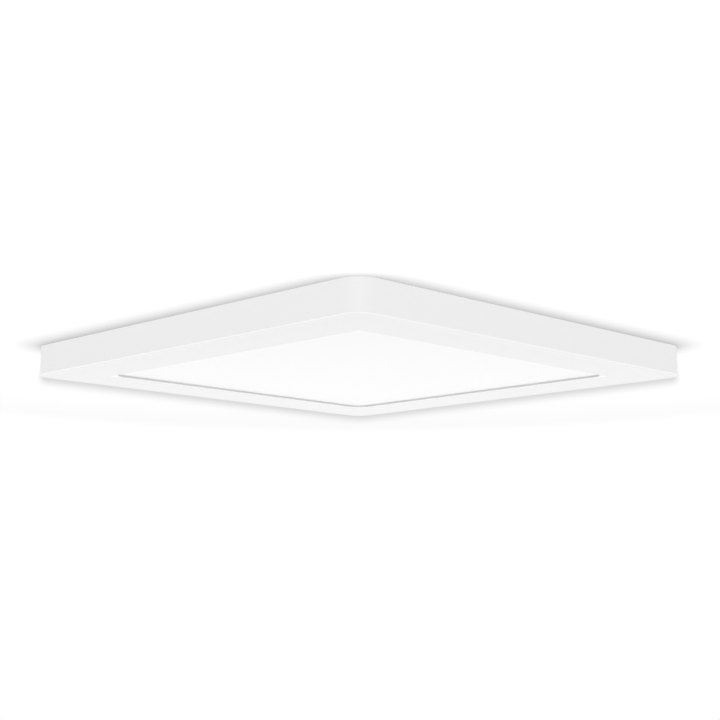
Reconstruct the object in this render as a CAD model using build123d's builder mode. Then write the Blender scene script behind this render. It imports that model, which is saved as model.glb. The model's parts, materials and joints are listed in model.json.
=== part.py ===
"""Slim square LED ceiling light that clips to a bracket on the ceiling box.

Millimetres, +Z up. The origin is the centre of the bracket's top face, which lies on the ceiling, and the
light hangs below it. Front is -Y. Heights are counted down from the ceiling, so they are negative.
"""

from build123d import *
import math
import os

# ---------------------------------------------------------------- driving dimensions
# trim frame
side = 305.0  # across the square frame
depth = 19.5  # from the ceiling to the bezel's face
corner_radius = 12.2  # upright outer corners
close = 0.01  # edges this near to a place are taken to be there
bezel_width = 36.5  # flat border round the diffuser
opening_radius = 3.5  # corners of the light opening
lip = 1.8  # bezel thickness, which is how far the diffuser is set back
lip_edge = 0.6  # bezel's thickness at the opening, below the shadow gap
shadow_gap = 1.0  # how far the gap above that edge runs back from the opening
wall = 2.2  # side walls
rim = 1.1  # thin top of the wall, round the back cover
edge_round = 1.0  # lower outer edge
lip_round = 0.4  # edge of the light opening
boss_radius = 3.6
gusset = 1.4  # ribs that tie a boss to the wall
pad_radius = 3.0  # pads that carry the heat rails
pad_height = 2.0
screw_skin = 0.9  # bezel left below a blind screw hole

# optical stack, from the bezel up
stack_overlap = 5.0  # diffuser hidden behind the bezel on each side
diffuser_thickness = 1.6
guide_thickness = 3.0
reflector_thickness = 0.25
foam_thickness = 1.0
foam_length = 44.0
foam_width = 36.0
foam_spread_x = 66.0
foam_spread_y = 56.0

# light source on each edge of the guide
led_gap = 0.2  # guide edge to LED face
led_length = 3.5
led_height = 2.8
led_depth = 0.7
led_count = 20
board_short = 1.0  # board's end to the guide's corner
board_gap = 0.2  # board's lower edge to the bezel
board_thickness = 1.0
rail_short = 2.0  # rail's end to the board's
rail_leg = 1.2
rail_flange = 0.8
rail_gap = 0.06  # board's upper edge to the flange
rail_flange_reach = 6.0
rail_foot_reach = 10.0
rail_screw_spread = 120.0
rail_screw_inset = 5.2  # from the rail's leg to its screws
link_width = 3.0
link_thickness = 0.6
link_bend = 1.4

# back cover
cover_drop = 1.2  # top of the cover below the ceiling
sheet = 0.8
cover_gap = 0.2  # between the cover's edge and the rim
well_gap = 0.8  # clips' feet to the bevel at the well's floor
well_radius = 14.0
draft = 12.0  # degrees, walls of the drawn well
mouth_bend = 1.4  # bevel that stands for the bend at the well's mouth
floor_bend = 1.2  # and at its floor
joggle_width = 19.0  # lowered border that takes the cover screws
joggle_depth = 1.4
joggle_draft = 40.0
bead_depth = 1.4
bead_width = 9.0
bead_mitre = 3.0
bead_draft = 35.0
diagonal_bead_end = 14.0  # bead's ends to the corners of the well and of the raised field
side_bead_end = 11.0  # bead's ends in from the well's corners
cover_screw_inset = 10.0  # from the frame's outside
hidden_sides = 6  # shanks and pilot holes that nothing shows are six-sided
boss_sides = 8
round_sides = 12  # small round heads and cans

# screws
screw_shank_radius = 1.4
screw_length = 8.0
tray_screw_length = 4.5
screw_head_radius = 2.9
screw_head_height = 1.5
hole_clearance = 0.4
thread_clearance = 0.05
rail_screw_radius = 1.1
rail_screw_length = 3.6
rail_head_radius = 2.1
rail_head_height = 1.3

# mounting bracket
bracket_end = 6.5  # long slots to the flanges' faces
bracket_side = 4.1  # short slots to the lips' faces
bracket_thickness = 1.5
bracket_corner = 10.0
flange_width = 44.0
flange_depth = 8.5
lip_width = 62.0
lip_depth = 3.4
bracket_bend = 0.8  # inside radius of its bends
wire_hole_radius = 19.0
collar_depth = 4.0
collar_edge = 0.8
relief_width = 1.6  # notches beside each bend
box_spacing_long = 88.9  # 3-1/2 inch ceiling box screws
box_spacing_short = 69.85  # 2-3/4 inch ceiling box screws
box_slot_length = 14.0
box_slot_width = 5.0
arc_slot_angle = 24.0
catch_width = 24.0
catch_height = 2.0
catch_drop = 5.2  # catch windows and clip crests below the ceiling
tongue_x = 30.0
tongue_y = 26.0
tongue_width = 9.0
tongue_length = 15.0
tongue_drop = 4.0
ground_shank_radius = 1.75
ground_head_radius = 3.5
ground_head_height = 2.4

# spring clips
clip_thickness = 0.6
clip_width = 20.0
clip_gap = 0.3  # crest to flange
clip_foot = 6.4
clip_lean = 1.6
clip_flare = 2.6
clip_tip_drop = 2.2
clip_bend = 0.9
rivet_spread = 12.0
rivet_radius = 1.2
rivet_head_radius = 2.0
rivet_head_height = 0.9
rivet_tail_height = 0.7

# driver
tray_length = 124.0
rail_clear = 3.0  # tray to the front rail's flange
tray_wall = 1.2
tray_floor = 0.8
tray_gap = 0.35  # above the reflector
tray_clear = 3.6  # from the well's upper edge
tray_corner = 1.6
ear_half = 4.4
ear_thickness = 3.0
board_step = 0.4  # height of the ledge under the driver board
board_ledge = 1.2
driver_board_thickness = 1.0
driver_board_gap = 0.4
insulator_thickness = 0.3
part_clear = 0.3  # round the tallest parts and the pocket
part_chamfer = 0.4
# components: rows stand along the near wall, the middle and the far wall of the tray, and tall ones reach
# to a clearance below the insulator
row_gap = 1.7  # tray's walls to the rows along them
output_end = 3.3  # output connector to the tray's left wall
output_length = 7.0
output_width = 8.0
output_clear = 1.9
input_length = 22.0
input_width = 8.0
input_clear = 1.3
film_length = 11.0
film_width = 5.5
film_clear = 0.5
bridge_length = 6.0
bridge_width = 5.0
bridge_height = 2.4
chip_x = -15.0
chip_length = 5.0
chip_width = 5.0
chip_height = 1.6
bulk_x = (6.0, -12.0)
bulk_length = 16.0
bulk_clear = 0.6
fuse_gap = 2.0  # varistor to fuse
fuse_length = 9.0
fuse_radius = 2.6
varistor_length = 3.6
varistor_clear = 1.2
choke_x = 19.2
choke_radius = 4.6
choke_clear = 1.1
choke_flange = 1.0
core_x = -29.0
core_length = 16.0
core_width = 14.0
core_clear = 0.7
core_leg = 2.8
core_centre = 4.2
winding_gap = 0.4

# colour selector
selector_end = 16.0  # from the tray's right end
selector_length = 13.0
selector_width = 6.6
selector_gap = 0.3  # below the pocket
pocket_length = 22.0
screw_pocket_length = 12.0
pocket_width = 13.0
pocket_depth = 2.5
pocket_mitre = 3.0
knob_length = 3.4
knob_width = 3.4
knob_travel = 2.2  # each way from the middle place
knob_gap = 0.25
knob_seat = 1.8  # depth of the knob's seat in the body
knob_below = 0.5  # knob's top below the cover's top

# terminal block
pole_pitch = 8.0
pole_count = 3
block_end_wall = 1.5
block_depth = 15.0
block_wall = 1.5
block_top_drop = 2.3  # below the ceiling
block_setback = 5.0  # rear of the block from the well's edge
chamber_width = 6.0
entry_radius = 1.3
entry_funnel = 0.6
button_width = 4.0
button_gap = 0.2
button_proud = 1.2
button_travel = 0.9
button_shoulder = 0.6
press_gap = 0.3  # between a pressed button and its contact
button_setback = 5.5  # from the rear of the block
strip_thickness = 0.6
strip_width = 4.6
ground_foot_length = 9.0
contact_rise = 2.85  # contact's bend above the well's floor
contact_dip = 1.2  # its tip below the bend

# leads and grommets
mains_lead_radius = 0.95
led_lead_radius = 0.65
led_lead_rise = 2.3  # above the driver board
led_lead_pitch = 3.0
led_lead_spread = 1.1
led_lead_bend = 4.0
grommet_clear = 0.3  # grommets to the bevel at the well's floor
lead_notch = 2.6
led_lead_notch = 2.0
grommet_bore = 1.45
grommet_neck = 2.2
grommet_flange = 3.2
grommet_lip = 0.8
grommet_hole_gap = 0.1

# ---------------------------------------------------------------- heights and places that follow
bezel_face = -depth
lip_top = bezel_face + lip
diffuser_top = lip_top + diffuser_thickness
guide_top = diffuser_top + guide_thickness
reflector_top = guide_top + reflector_thickness
foam_top = reflector_top + foam_thickness
well_floor = foam_top + sheet
cover_top = -cover_drop
cover_under = cover_top - sheet
joggle_top = cover_top - joggle_depth
joggle_under = joggle_top - sheet

half = side / 2
opening = side - 2 * bezel_width
stack_side = opening + 2 * stack_overlap
stack_half = stack_side / 2
board_length = stack_side - 2 * board_short
rail_length = board_length - 2 * rail_short
led_pitch = board_length / led_count
board_face = stack_half + led_gap + led_depth
board_back = board_face + board_thickness
leg_outer = board_back + rail_leg
foot_under = lip_top + pad_height
rail_screw_place = leg_outer + rail_screw_inset
inner_half = half - wall
cover_side = side - 2 * rim - 2 * cover_gap
well_depth = cover_top - well_floor
bracket_length = box_spacing_long + box_slot_length + 2 * bracket_end
bracket_width = box_spacing_short + box_slot_length + 2 * bracket_side
clip_crest = bracket_length / 2 + clip_gap
clip_end = clip_crest + clip_lean + clip_foot + clip_thickness
rivet_x = clip_end - clip_foot / 2
well_side = 2 * (clip_end + well_gap + floor_bend + well_depth * math.tan(math.radians(draft)))
screw_place = half - cover_screw_inset
cover_screw_points = [
    (x, y) for x in (-screw_place, 0, screw_place) for y in (-screw_place, 0, screw_place) if (x, y) != (0, 0)
]
field_side = cover_side - 2 * joggle_width
side_bead_length = well_side - 2 * side_bead_end
side_bead_place = (well_side + field_side) / 4
well_reach = (well_side / 2 - well_radius) * math.sqrt(2) + well_radius
field_reach = (field_side / 2 - corner_radius) * math.sqrt(2) + corner_radius
diagonal_bead_length = field_reach - well_reach - 2 * diagonal_bead_end
diagonal_bead_place = (field_reach + well_reach) / 2

tray_near_y = -(well_side / 2 + tray_clear)
tray_far_y = rail_flange_reach - leg_outer + rail_clear
tray_width = tray_near_y - tray_far_y
tray_y = (tray_near_y + tray_far_y) / 2
tray_bottom = reflector_top + tray_gap
tray_rim = cover_under - insulator_thickness
board_under = tray_bottom + tray_floor + board_step
board_top = board_under + driver_board_thickness
board_room = tray_rim - board_top
selector_x, selector_y = tray_length / 2 - selector_end, tray_y
ear_x = tray_length / 2 + part_clear + sheet + screw_pocket_length / 2
ear_y = tray_y
tray_screw_points = [(-ear_x, ear_y), (ear_x, ear_y)]
pocket_floor = cover_top - pocket_depth
pocket_under = pocket_floor - sheet
selector_top = pocket_under - selector_gap
knob_top = cover_top - knob_below

block_top = -block_top_drop
block_length = pole_count * pole_pitch + 2 * block_end_wall
block_rear_y = block_setback - well_side / 2
block_front_y = block_rear_y + block_depth
button_y = block_rear_y + button_setback
contact_top = well_floor + contact_rise
contact_tip = contact_top - contact_dip
block_roof = block_top - block_wall
entry_z = (block_roof + well_floor) / 2
button_foot = contact_top + strip_thickness / 2 + press_gap + button_travel
# the mains leads pass level through the drafted front wall of the well
lead_drop = -(well_floor + floor_bend + grommet_clear + grommet_flange)
lead_wall_y = -(well_side / 2 - (cover_top + lead_drop) * math.tan(math.radians(draft)))
led_lead_z = board_top + led_lead_rise
pole_x = [(i - (pole_count - 1) / 2) * pole_pitch for i in range(pole_count)]
mains_x = [pole_x[0], pole_x[-1]]
near_row = tray_near_y - tray_wall - row_gap
far_row = tray_far_y + tray_wall + row_gap
output_face_x = output_end + tray_wall - tray_length / 2
output_y = far_row + output_width / 2
film_x = selector_x - pocket_length / 2 - sheet - 2 * part_clear - film_length / 2
fuse_x = film_x - fuse_gap - fuse_length / 2
varistor_radius = (board_room - varistor_clear) / 2
bulk_radius = (board_room - bulk_clear) / 2
led_lead_y = (output_y + led_lead_pitch / 2, output_y - led_lead_pitch / 2)
led_lead_far_x = (-inner_half + 2 * led_lead_pitch, -inner_half + 3 * led_lead_pitch)
foot_rivet_y = block_front_y + ground_foot_length - 3 * rivet_radius

# angles of the four sides, in plan
sides = {"front": 0, "right": 90, "back": 180, "left": 270}


def outward(angle):
    """Unit vector out of the light across the side at this angle, the front being 0."""
    return Vector(math.sin(math.radians(angle)), -math.cos(math.radians(angle)), 0)


def along(angle):
    """Unit vector along the side at this angle."""
    return Vector(math.cos(math.radians(angle)), math.sin(math.radians(angle)), 0)


rail_screw_points = [
    tuple(outward(angle) * rail_screw_place + along(angle) * offset)[:2]
    for angle in sides.values()
    for offset in (-rail_screw_spread / 2, rail_screw_spread / 2)
]


def section_plane(angle):
    """Upright plane through the middle of a side: x is the distance out from the centre and y the height."""
    return Plane(origin=(0, 0, 0), x_dir=outward(angle), z_dir=-along(angle))


def face_plane(angle, distance):
    """Upright plane parallel to a side: x runs along the side and y is the height."""
    return Plane(origin=outward(angle) * distance, x_dir=along(angle), z_dir=outward(angle))


def nearest_edge(edges, across, height):
    """The edge whose middle lies nearest to a place given across the part and in height."""
    return min(edges, key=lambda e: (e.center() - Vector(across.X, across.Y, height)).length)


def bolt_outline(radius):
    """Six-sided outline of a shank or pilot hole that nothing shows."""
    RegularPolygon(radius, hidden_sides)


def span(low_x, high_x, low_y, high_y, mode=Mode.ADD):
    """Rectangle between two corners, for use inside a sketch."""
    with Locations(((low_x + high_x) / 2, (low_y + high_y) / 2)):
        Rectangle(high_x - low_x, high_y - low_y, mode=mode)


os.makedirs("parts", exist_ok=True)
pieces = {}


def keep(name, part):
    """Label a finished piece and write it."""
    part.label = name
    pieces[name] = part
    export_step(part, f"parts/{name}.step")


# ---------------------------------------------------------------- mounting bracket
with BuildPart() as mounting_bracket:
    with BuildSketch():
        RectangleRounded(bracket_length, bracket_width, bracket_corner)
    extrude(amount=-bracket_thickness)
    # flanges that the spring clips hold, and stiffening lips along the other two edges, between bend reliefs
    for angle, edge, width, drop in (
        (90, bracket_length / 2, flange_width, flange_depth),
        (270, bracket_length / 2, flange_width, flange_depth),
        (0, bracket_width / 2, lip_width, lip_depth),
        (180, bracket_width / 2, lip_width, lip_depth),
    ):
        with BuildSketch(section_plane(angle)):
            span(edge - bracket_thickness - bracket_bend, edge, -bracket_thickness, 0)
        extrude(amount=width / 2 + relief_width, both=True, mode=Mode.SUBTRACT)
        with BuildSketch(section_plane(angle)):
            span(edge - 2 * bracket_thickness - bracket_bend, edge, -bracket_thickness, 0)
            span(edge - bracket_thickness, edge, -drop, 0)
        extrude(amount=width / 2, both=True)
        lengthwise = mounting_bracket.edges().filter_by(Axis(Vector(0, 0, 0), along(angle)))
        bends = lengthwise.filter_by(lambda e: abs(e.length - width) < close)
        inside_bend = nearest_edge(bends, outward(angle) * (edge - bracket_thickness), -bracket_thickness)
        fillet(inside_bend, bracket_bend)
        fillet(nearest_edge(bends, outward(angle) * edge, 0), bracket_bend + bracket_thickness)
    # collared wire hole
    with BuildSketch():
        Circle(wire_hole_radius + bracket_thickness)
    extrude(amount=-collar_depth)
    with BuildSketch():
        Circle(wire_hole_radius)
    extrude(amount=-collar_depth, mode=Mode.SUBTRACT)
    mouth = mounting_bracket.edges().filter_by(GeomType.CIRCLE).group_by(Axis.Z)[-1]
    chamfer(mouth.filter_by(lambda e: abs(e.radius - wire_hole_radius) < close), collar_edge)
    # slots for two sizes of ceiling box, and a pair of arcs that let the plate be turned to the room
    with BuildSketch():
        with GridLocations(box_spacing_long, 0, 2, 1):
            SlotOverall(box_slot_length, box_slot_width)
        with GridLocations(0, box_spacing_short, 1, 2):
            SlotOverall(box_slot_length, box_slot_width, rotation=90)
        for start in (135 - arc_slot_angle / 2, 315 - arc_slot_angle / 2):
            arc = CenterArc((0, 0), box_spacing_long / 2, start, arc_slot_angle, mode=Mode.PRIVATE)
            SlotArc(arc, box_slot_width)
    extrude(amount=-bracket_thickness, mode=Mode.SUBTRACT)
    # catch windows where the clip crests ride
    with BuildSketch(face_plane(90, 0)):
        with Locations((0, -catch_drop)):
            Rectangle(catch_width, catch_height)
    extrude(amount=bracket_length, both=True, mode=Mode.SUBTRACT)
    # lanced tongue for the ground screw
    with BuildSketch():
        with Locations((tongue_x, tongue_y + bracket_thickness)):
            Rectangle(tongue_width + 2 * bracket_thickness, tongue_length)
    extrude(amount=-bracket_thickness, mode=Mode.SUBTRACT)
    root_y = tongue_y + bracket_thickness + tongue_length / 2
    with BuildSketch(Plane(origin=(tongue_x, 0, 0), x_dir=(0, 1, 0), z_dir=(1, 0, 0))):
        with BuildLine():
            FilletPolyline(
                (root_y + bracket_thickness, -bracket_thickness / 2),
                (root_y - bracket_thickness / 2, -bracket_thickness / 2),
                (root_y - 2 * bracket_thickness, -tongue_drop - bracket_thickness / 2),
                (tongue_y - tongue_width / 2, -tongue_drop - bracket_thickness / 2),
                radius=bracket_bend + bracket_thickness / 2,
            )
        trace(line_width=bracket_thickness)
    extrude(amount=tongue_width / 2, both=True)
    with BuildSketch(Plane.XY.offset(-tongue_drop)):
        with Locations((tongue_x, tongue_y)):
            bolt_outline(ground_shank_radius + thread_clearance)
    extrude(amount=-2 * bracket_thickness, mode=Mode.SUBTRACT)
keep("mounting_bracket", mounting_bracket.part)

tongue_under = -tongue_drop - bracket_thickness
with BuildPart() as ground_screw:
    with BuildSketch(Plane.XY.offset(tongue_under)):
        with Locations((tongue_x, tongue_y)):
            RegularPolygon(ground_head_radius, round_sides)
    extrude(amount=-ground_head_height)
    chamfer(ground_screw.edges().group_by(Axis.Z)[0], ground_head_height / 3)
    with BuildSketch(Plane.XY.offset(tongue_under)):
        with Locations((tongue_x, tongue_y)):
            bolt_outline(ground_shank_radius)
    extrude(amount=-tongue_under - bracket_thickness / 2)
keep("ground_screw", ground_screw.part)

# ---------------------------------------------------------------- trim frame
with BuildPart() as trim_frame:
    with BuildSketch(Plane.XY.offset(bezel_face)):
        RectangleRounded(side, side, corner_radius)
    extrude(amount=depth)
    fillet(trim_frame.edges().group_by(Axis.Z)[0], edge_round)
    with BuildSketch(Plane.XY.offset(lip_top)):
        RectangleRounded(side - 2 * wall, side - 2 * wall, corner_radius - wall)
    extrude(amount=joggle_under - lip_top, mode=Mode.SUBTRACT)
    with BuildSketch(Plane.XY.offset(joggle_under)):
        RectangleRounded(side - 2 * rim, side - 2 * rim, corner_radius - rim)
    extrude(amount=-joggle_under, mode=Mode.SUBTRACT)
    with BuildSketch(Plane.XY.offset(bezel_face)):
        RectangleRounded(opening, opening, opening_radius)
    extrude(amount=lip, mode=Mode.SUBTRACT)
    opening_edge = trim_frame.edges().group_by(Axis.Z)[0].filter_by(
        lambda e: max(abs(e.center().X), abs(e.center().Y)) < opening / 2 + lip_round
    )
    chamfer(opening_edge, lip_round)
    # shadow gap between the bezel's thin inner edge and the diffuser
    with BuildSketch(Plane.XY.offset(lip_top)):
        RectangleRounded(opening + 2 * shadow_gap, opening + 2 * shadow_gap, opening_radius + shadow_gap)
    extrude(amount=bezel_face + lip_edge - lip_top, mode=Mode.SUBTRACT)
    # screw bosses, each tied to the wall by a gusset
    with BuildSketch(Plane.XY.offset(lip_top)):
        with Locations(*cover_screw_points):
            RegularPolygon(boss_radius, boss_sides)
        for x, y in cover_screw_points:
            reach = inner_half + wall / 2
            wall_x, wall_y = math.copysign(reach, x), math.copysign(reach, y)
            if x:
                span(min(x, wall_x), max(x, wall_x), y - gusset / 2, y + gusset / 2)
            if y:
                span(x - gusset / 2, x + gusset / 2, min(y, wall_y), max(y, wall_y))
    extrude(amount=joggle_under - lip_top)
    with BuildSketch(Plane.XY.offset(joggle_under)):
        with Locations(*cover_screw_points):
            bolt_outline(screw_shank_radius + thread_clearance)
    extrude(amount=-screw_length, mode=Mode.SUBTRACT)
    # pads under the heat rails
    with BuildSketch(Plane.XY.offset(lip_top)):
        with Locations(*rail_screw_points):
            RegularPolygon(pad_radius, boss_sides)
    extrude(amount=pad_height)
    with BuildSketch(Plane.XY.offset(foot_under)):
        with Locations(*rail_screw_points):
            bolt_outline(rail_screw_radius + thread_clearance)
    extrude(amount=-(pad_height + lip - screw_skin), mode=Mode.SUBTRACT)
keep("trim_frame", trim_frame.part)

# ---------------------------------------------------------------- optical stack
for name, bottom, thickness in (
    ("diffuser", lip_top, diffuser_thickness),
    ("light_guide", diffuser_top, guide_thickness),
    ("reflector_sheet", guide_top, reflector_thickness),
):
    with BuildPart() as plate:
        with BuildSketch(Plane.XY.offset(bottom)):
            Rectangle(stack_side, stack_side)
        extrude(amount=thickness)
    keep(name, plate.part)

with BuildPart() as foam_pads:
    with BuildSketch(Plane.XY.offset(reflector_top)):
        with GridLocations(foam_spread_x, foam_spread_y, 2, 2):
            Rectangle(foam_length, foam_width)
    extrude(amount=foam_thickness)
keep("foam_pads", foam_pads.part)

# ---------------------------------------------------------------- light source and heat rails
led_middle = (diffuser_top + guide_top) / 2
board_top_edge = reflector_top - rail_gap
board_low_edge = lip_top + board_gap
for side_name, angle in sides.items():
    with BuildPart() as led_board:
        with BuildSketch(face_plane(angle, board_face)):
            span(-board_length / 2, board_length / 2, board_low_edge, board_top_edge)
        extrude(amount=board_thickness)
    keep(f"led_board_{side_name}", led_board.part)

    with BuildPart() as led_packages:
        with BuildSketch(face_plane(angle, board_face)):
            with Locations((0, led_middle)), GridLocations(led_pitch, 0, led_count, 1):
                Rectangle(led_length, led_height)
        extrude(amount=-led_depth)
    keep(f"led_packages_{side_name}", led_packages.part)

    with BuildPart() as heat_rail:
        with BuildSketch(section_plane(angle)):
            span(board_back, leg_outer, lip_top, reflector_top + rail_flange)
            span(leg_outer - rail_flange_reach, leg_outer, reflector_top, reflector_top + rail_flange)
            span(board_back, leg_outer + rail_foot_reach, foot_under, foot_under + rail_leg)
        extrude(amount=rail_length / 2, both=True)
        with BuildSketch(Plane.XY.offset(foot_under)):
            with Locations(*rail_screw_points):
                bolt_outline(rail_screw_radius + hole_clearance)
        extrude(amount=rail_leg, mode=Mode.SUBTRACT)
    keep(f"heat_rail_{side_name}", heat_rail.part)


def screws(points, seat, shank_radius, length, head, head_height):
    """A group of like screws, points down, on a seat at this height; head draws the head's outline."""
    with BuildPart() as group:
        with BuildSketch(Plane.XY.offset(seat)):
            with Locations(*points):
                head()
        extrude(amount=head_height)
        chamfer(group.edges().group_by(Axis.Z)[-1], head_height / 3)
        with BuildSketch(Plane.XY.offset(seat)):
            with Locations(*points):
                bolt_outline(shank_radius)
        extrude(amount=-length)
    return group.part


foot_top = foot_under + rail_leg
keep(
    "rail_screws",
    screws(
        rail_screw_points,
        foot_top,
        rail_screw_radius,
        rail_screw_length,
        lambda: RegularPolygon(rail_head_radius, hidden_sides),
        rail_head_height,
    ),
)

# flexible links that carry the current round three of the corners, from board end to board end
board_middle = (board_face + board_back) / 2
with BuildPart() as corner_links:
    for angle in (0, 90, 180):
        with BuildSketch(Plane(origin=(0, 0, led_middle), x_dir=along(angle), z_dir=(0, 0, 1))):
            with BuildLine():
                Polyline(
                    (board_length / 2, -board_middle),
                    (board_middle - link_bend, -board_middle),
                    (board_middle, link_bend - board_middle),
                    (board_middle, -board_length / 2),
                )
            trace(line_width=link_thickness)
        extrude(amount=link_width / 2, both=True)
keep("corner_links", corner_links.part)

# ---------------------------------------------------------------- back cover
def edges_at(part, height, reach):
    """Level edges of a part at one height and near its middle."""
    return part.edges().filter_by(
        lambda e: abs(e.center().Z - height) < close and max(abs(e.center().X), abs(e.center().Y)) < reach
    )


def mitred(length, width, mitre):
    """Rectangle with its corners cut at 45 degrees."""
    x, y = length / 2, width / 2
    Polygon(
        (x - mitre, -y),
        (x, mitre - y),
        (x, y - mitre),
        (x - mitre, y),
        (mitre - x, y),
        (-x, y - mitre),
        (-x, mitre - y),
        (mitre - x, -y),
    )


grommet_planes = [
    Plane(
        origin=(x, lead_wall_y, -lead_drop),
        x_dir=(1, 0, 0),
        z_dir=(0, math.cos(math.radians(draft)), math.sin(math.radians(draft))),
    )
    for x in mains_x
]
diagonal_bead_xy = diagonal_bead_place * math.sqrt(0.5)
# each pressing is a place, a turn, a length, a width, a mitre, a depth and the draft of its walls
bead = (bead_width, bead_mitre, bead_depth, bead_draft)
pocket = (pocket_width, pocket_mitre, pocket_depth, draft)
pressings = [
    (diagonal_bead_xy, diagonal_bead_xy, 45, diagonal_bead_length, *bead),
    (-diagonal_bead_xy, diagonal_bead_xy, 135, diagonal_bead_length, *bead),
    (-diagonal_bead_xy, -diagonal_bead_xy, 45, diagonal_bead_length, *bead),
    (diagonal_bead_xy, -diagonal_bead_xy, 135, diagonal_bead_length, *bead),
    (side_bead_place, 0, 90, side_bead_length, *bead),
    (-side_bead_place, 0, 90, side_bead_length, *bead),
    (0, side_bead_place, 0, side_bead_length, *bead),
    (selector_x, selector_y, 0, pocket_length, *pocket),
    (-ear_x, ear_y, 0, screw_pocket_length, *pocket),
    (ear_x, ear_y, 0, screw_pocket_length, *pocket),
]
joggle_lean = math.tan(math.radians(joggle_draft))
joggle_inset = sheet / math.cos(math.radians(joggle_draft)) - sheet * joggle_lean
rivet_points = [(turn * rivet_x, y) for turn in (-1, 1) for y in (-rivet_spread / 2, rivet_spread / 2)]
rivet_points.append((0, foot_rivet_y))

with BuildPart() as back_cover:
    # lowered border, then the raised field inside it
    with BuildSketch(Plane.XY.offset(joggle_top)):
        RectangleRounded(cover_side, cover_side, corner_radius - rim - cover_gap)
    extrude(amount=-sheet)
    with BuildSketch(Plane.XY.offset(cover_top)):
        RectangleRounded(field_side, field_side, corner_radius)
    extrude(amount=-(joggle_depth + sheet), taper=-joggle_draft)
    with BuildSketch(Plane.XY.offset(cover_under)):
        under_side = field_side - 2 * joggle_inset
        RectangleRounded(under_side, under_side, corner_radius - joggle_inset)
    extrude(amount=-joggle_depth, taper=-joggle_draft, mode=Mode.SUBTRACT)
    # first the outside of everything pressed down out of the field, then its hollow
    for grow, mode in ((sheet, Mode.ADD), (0, Mode.SUBTRACT)):
        with BuildSketch(Plane.XY.offset(cover_top)):
            RectangleRounded(well_side + 2 * grow, well_side + 2 * grow, well_radius + grow)
        extrude(amount=-(well_depth + grow), taper=draft, mode=mode)
        for x, y, turn, length, width, mitre, drop, lean in pressings:
            with BuildSketch(Plane.XY.offset(cover_top)):
                with Locations(Location((x, y), turn)):
                    mitred(length + 2 * grow, width + 2 * grow, mitre)
            extrude(amount=-(drop + grow), taper=lean, mode=mode)
    # bends at the mouth and floor of the well
    chamfer(edges_at(back_cover, cover_top, well_side / 2 + sheet), mouth_bend)
    chamfer(edges_at(back_cover, well_floor, well_side / 2), floor_bend)
    # holes for the screws, rivets, switch knob and grommets
    for height, points, radius in (
        (joggle_top, cover_screw_points, screw_shank_radius + hole_clearance),
        (pocket_floor, tray_screw_points, screw_shank_radius + hole_clearance),
        (well_floor, rivet_points, rivet_radius + thread_clearance),
    ):
        with BuildSketch(Plane.XY.offset(height)):
            with Locations(*points):
                bolt_outline(radius)
        extrude(amount=-sheet, mode=Mode.SUBTRACT)
    with BuildSketch(Plane.XY.offset(pocket_floor)):
        with Locations((selector_x, selector_y)):
            Rectangle(knob_length + 2 * knob_travel + 2 * knob_gap, knob_width + 2 * knob_gap)
    extrude(amount=-sheet, mode=Mode.SUBTRACT)
    for plane in grommet_planes:
        with BuildSketch(plane):
            Circle(grommet_neck + grommet_hole_gap)
        extrude(amount=2 * sheet, both=True, mode=Mode.SUBTRACT)
keep("back_cover", back_cover.part)

keep(
    "cover_screws",
    screws(
        cover_screw_points,
        joggle_top,
        screw_shank_radius,
        screw_length,
        lambda: RegularPolygon(screw_head_radius, round_sides),
        screw_head_height,
    ),
)
keep(
    "driver_screws",
    screws(
        tray_screw_points,
        pocket_floor,
        screw_shank_radius,
        tray_screw_length,
        lambda: RegularPolygon(screw_head_radius, round_sides),
        screw_head_height,
    ),
)

with BuildPart() as rivets:
    with BuildSketch(Plane.XY.offset(well_floor + strip_thickness)):
        with Locations(*rivet_points):
            RegularPolygon(rivet_head_radius, round_sides)
    extrude(amount=rivet_head_height)
    chamfer(rivets.edges().group_by(Axis.Z)[-1], rivet_head_height / 2)
    with BuildSketch(Plane.XY.offset(well_floor + strip_thickness)):
        with Locations(*rivet_points):
            bolt_outline(rivet_radius)
    extrude(amount=-(strip_thickness + sheet + rivet_tail_height))
keep("rivets", rivets.part)

# ---------------------------------------------------------------- spring clips
for clip_name, turn in (("right", 90), ("left", 270)):
    with BuildPart() as spring_clip:
        with BuildSketch(section_plane(turn)):
            with BuildLine():
                FilletPolyline(
                    (clip_crest + clip_lean + clip_foot + clip_thickness, well_floor + clip_thickness / 2),
                    (clip_crest + clip_lean, well_floor + clip_thickness / 2),
                    (clip_crest + clip_thickness / 2, -catch_drop),
                    (clip_crest + clip_flare, -clip_tip_drop),
                    radius=clip_bend,
                )
            trace(line_width=clip_thickness)
        extrude(amount=clip_width / 2, both=True)
        with BuildSketch(Plane.XY.offset(well_floor)):
            with Locations(*rivet_points):
                bolt_outline(rivet_radius + thread_clearance)
        extrude(amount=clip_thickness, mode=Mode.SUBTRACT)
    keep(f"spring_clip_{clip_name}", spring_clip.part)

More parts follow.
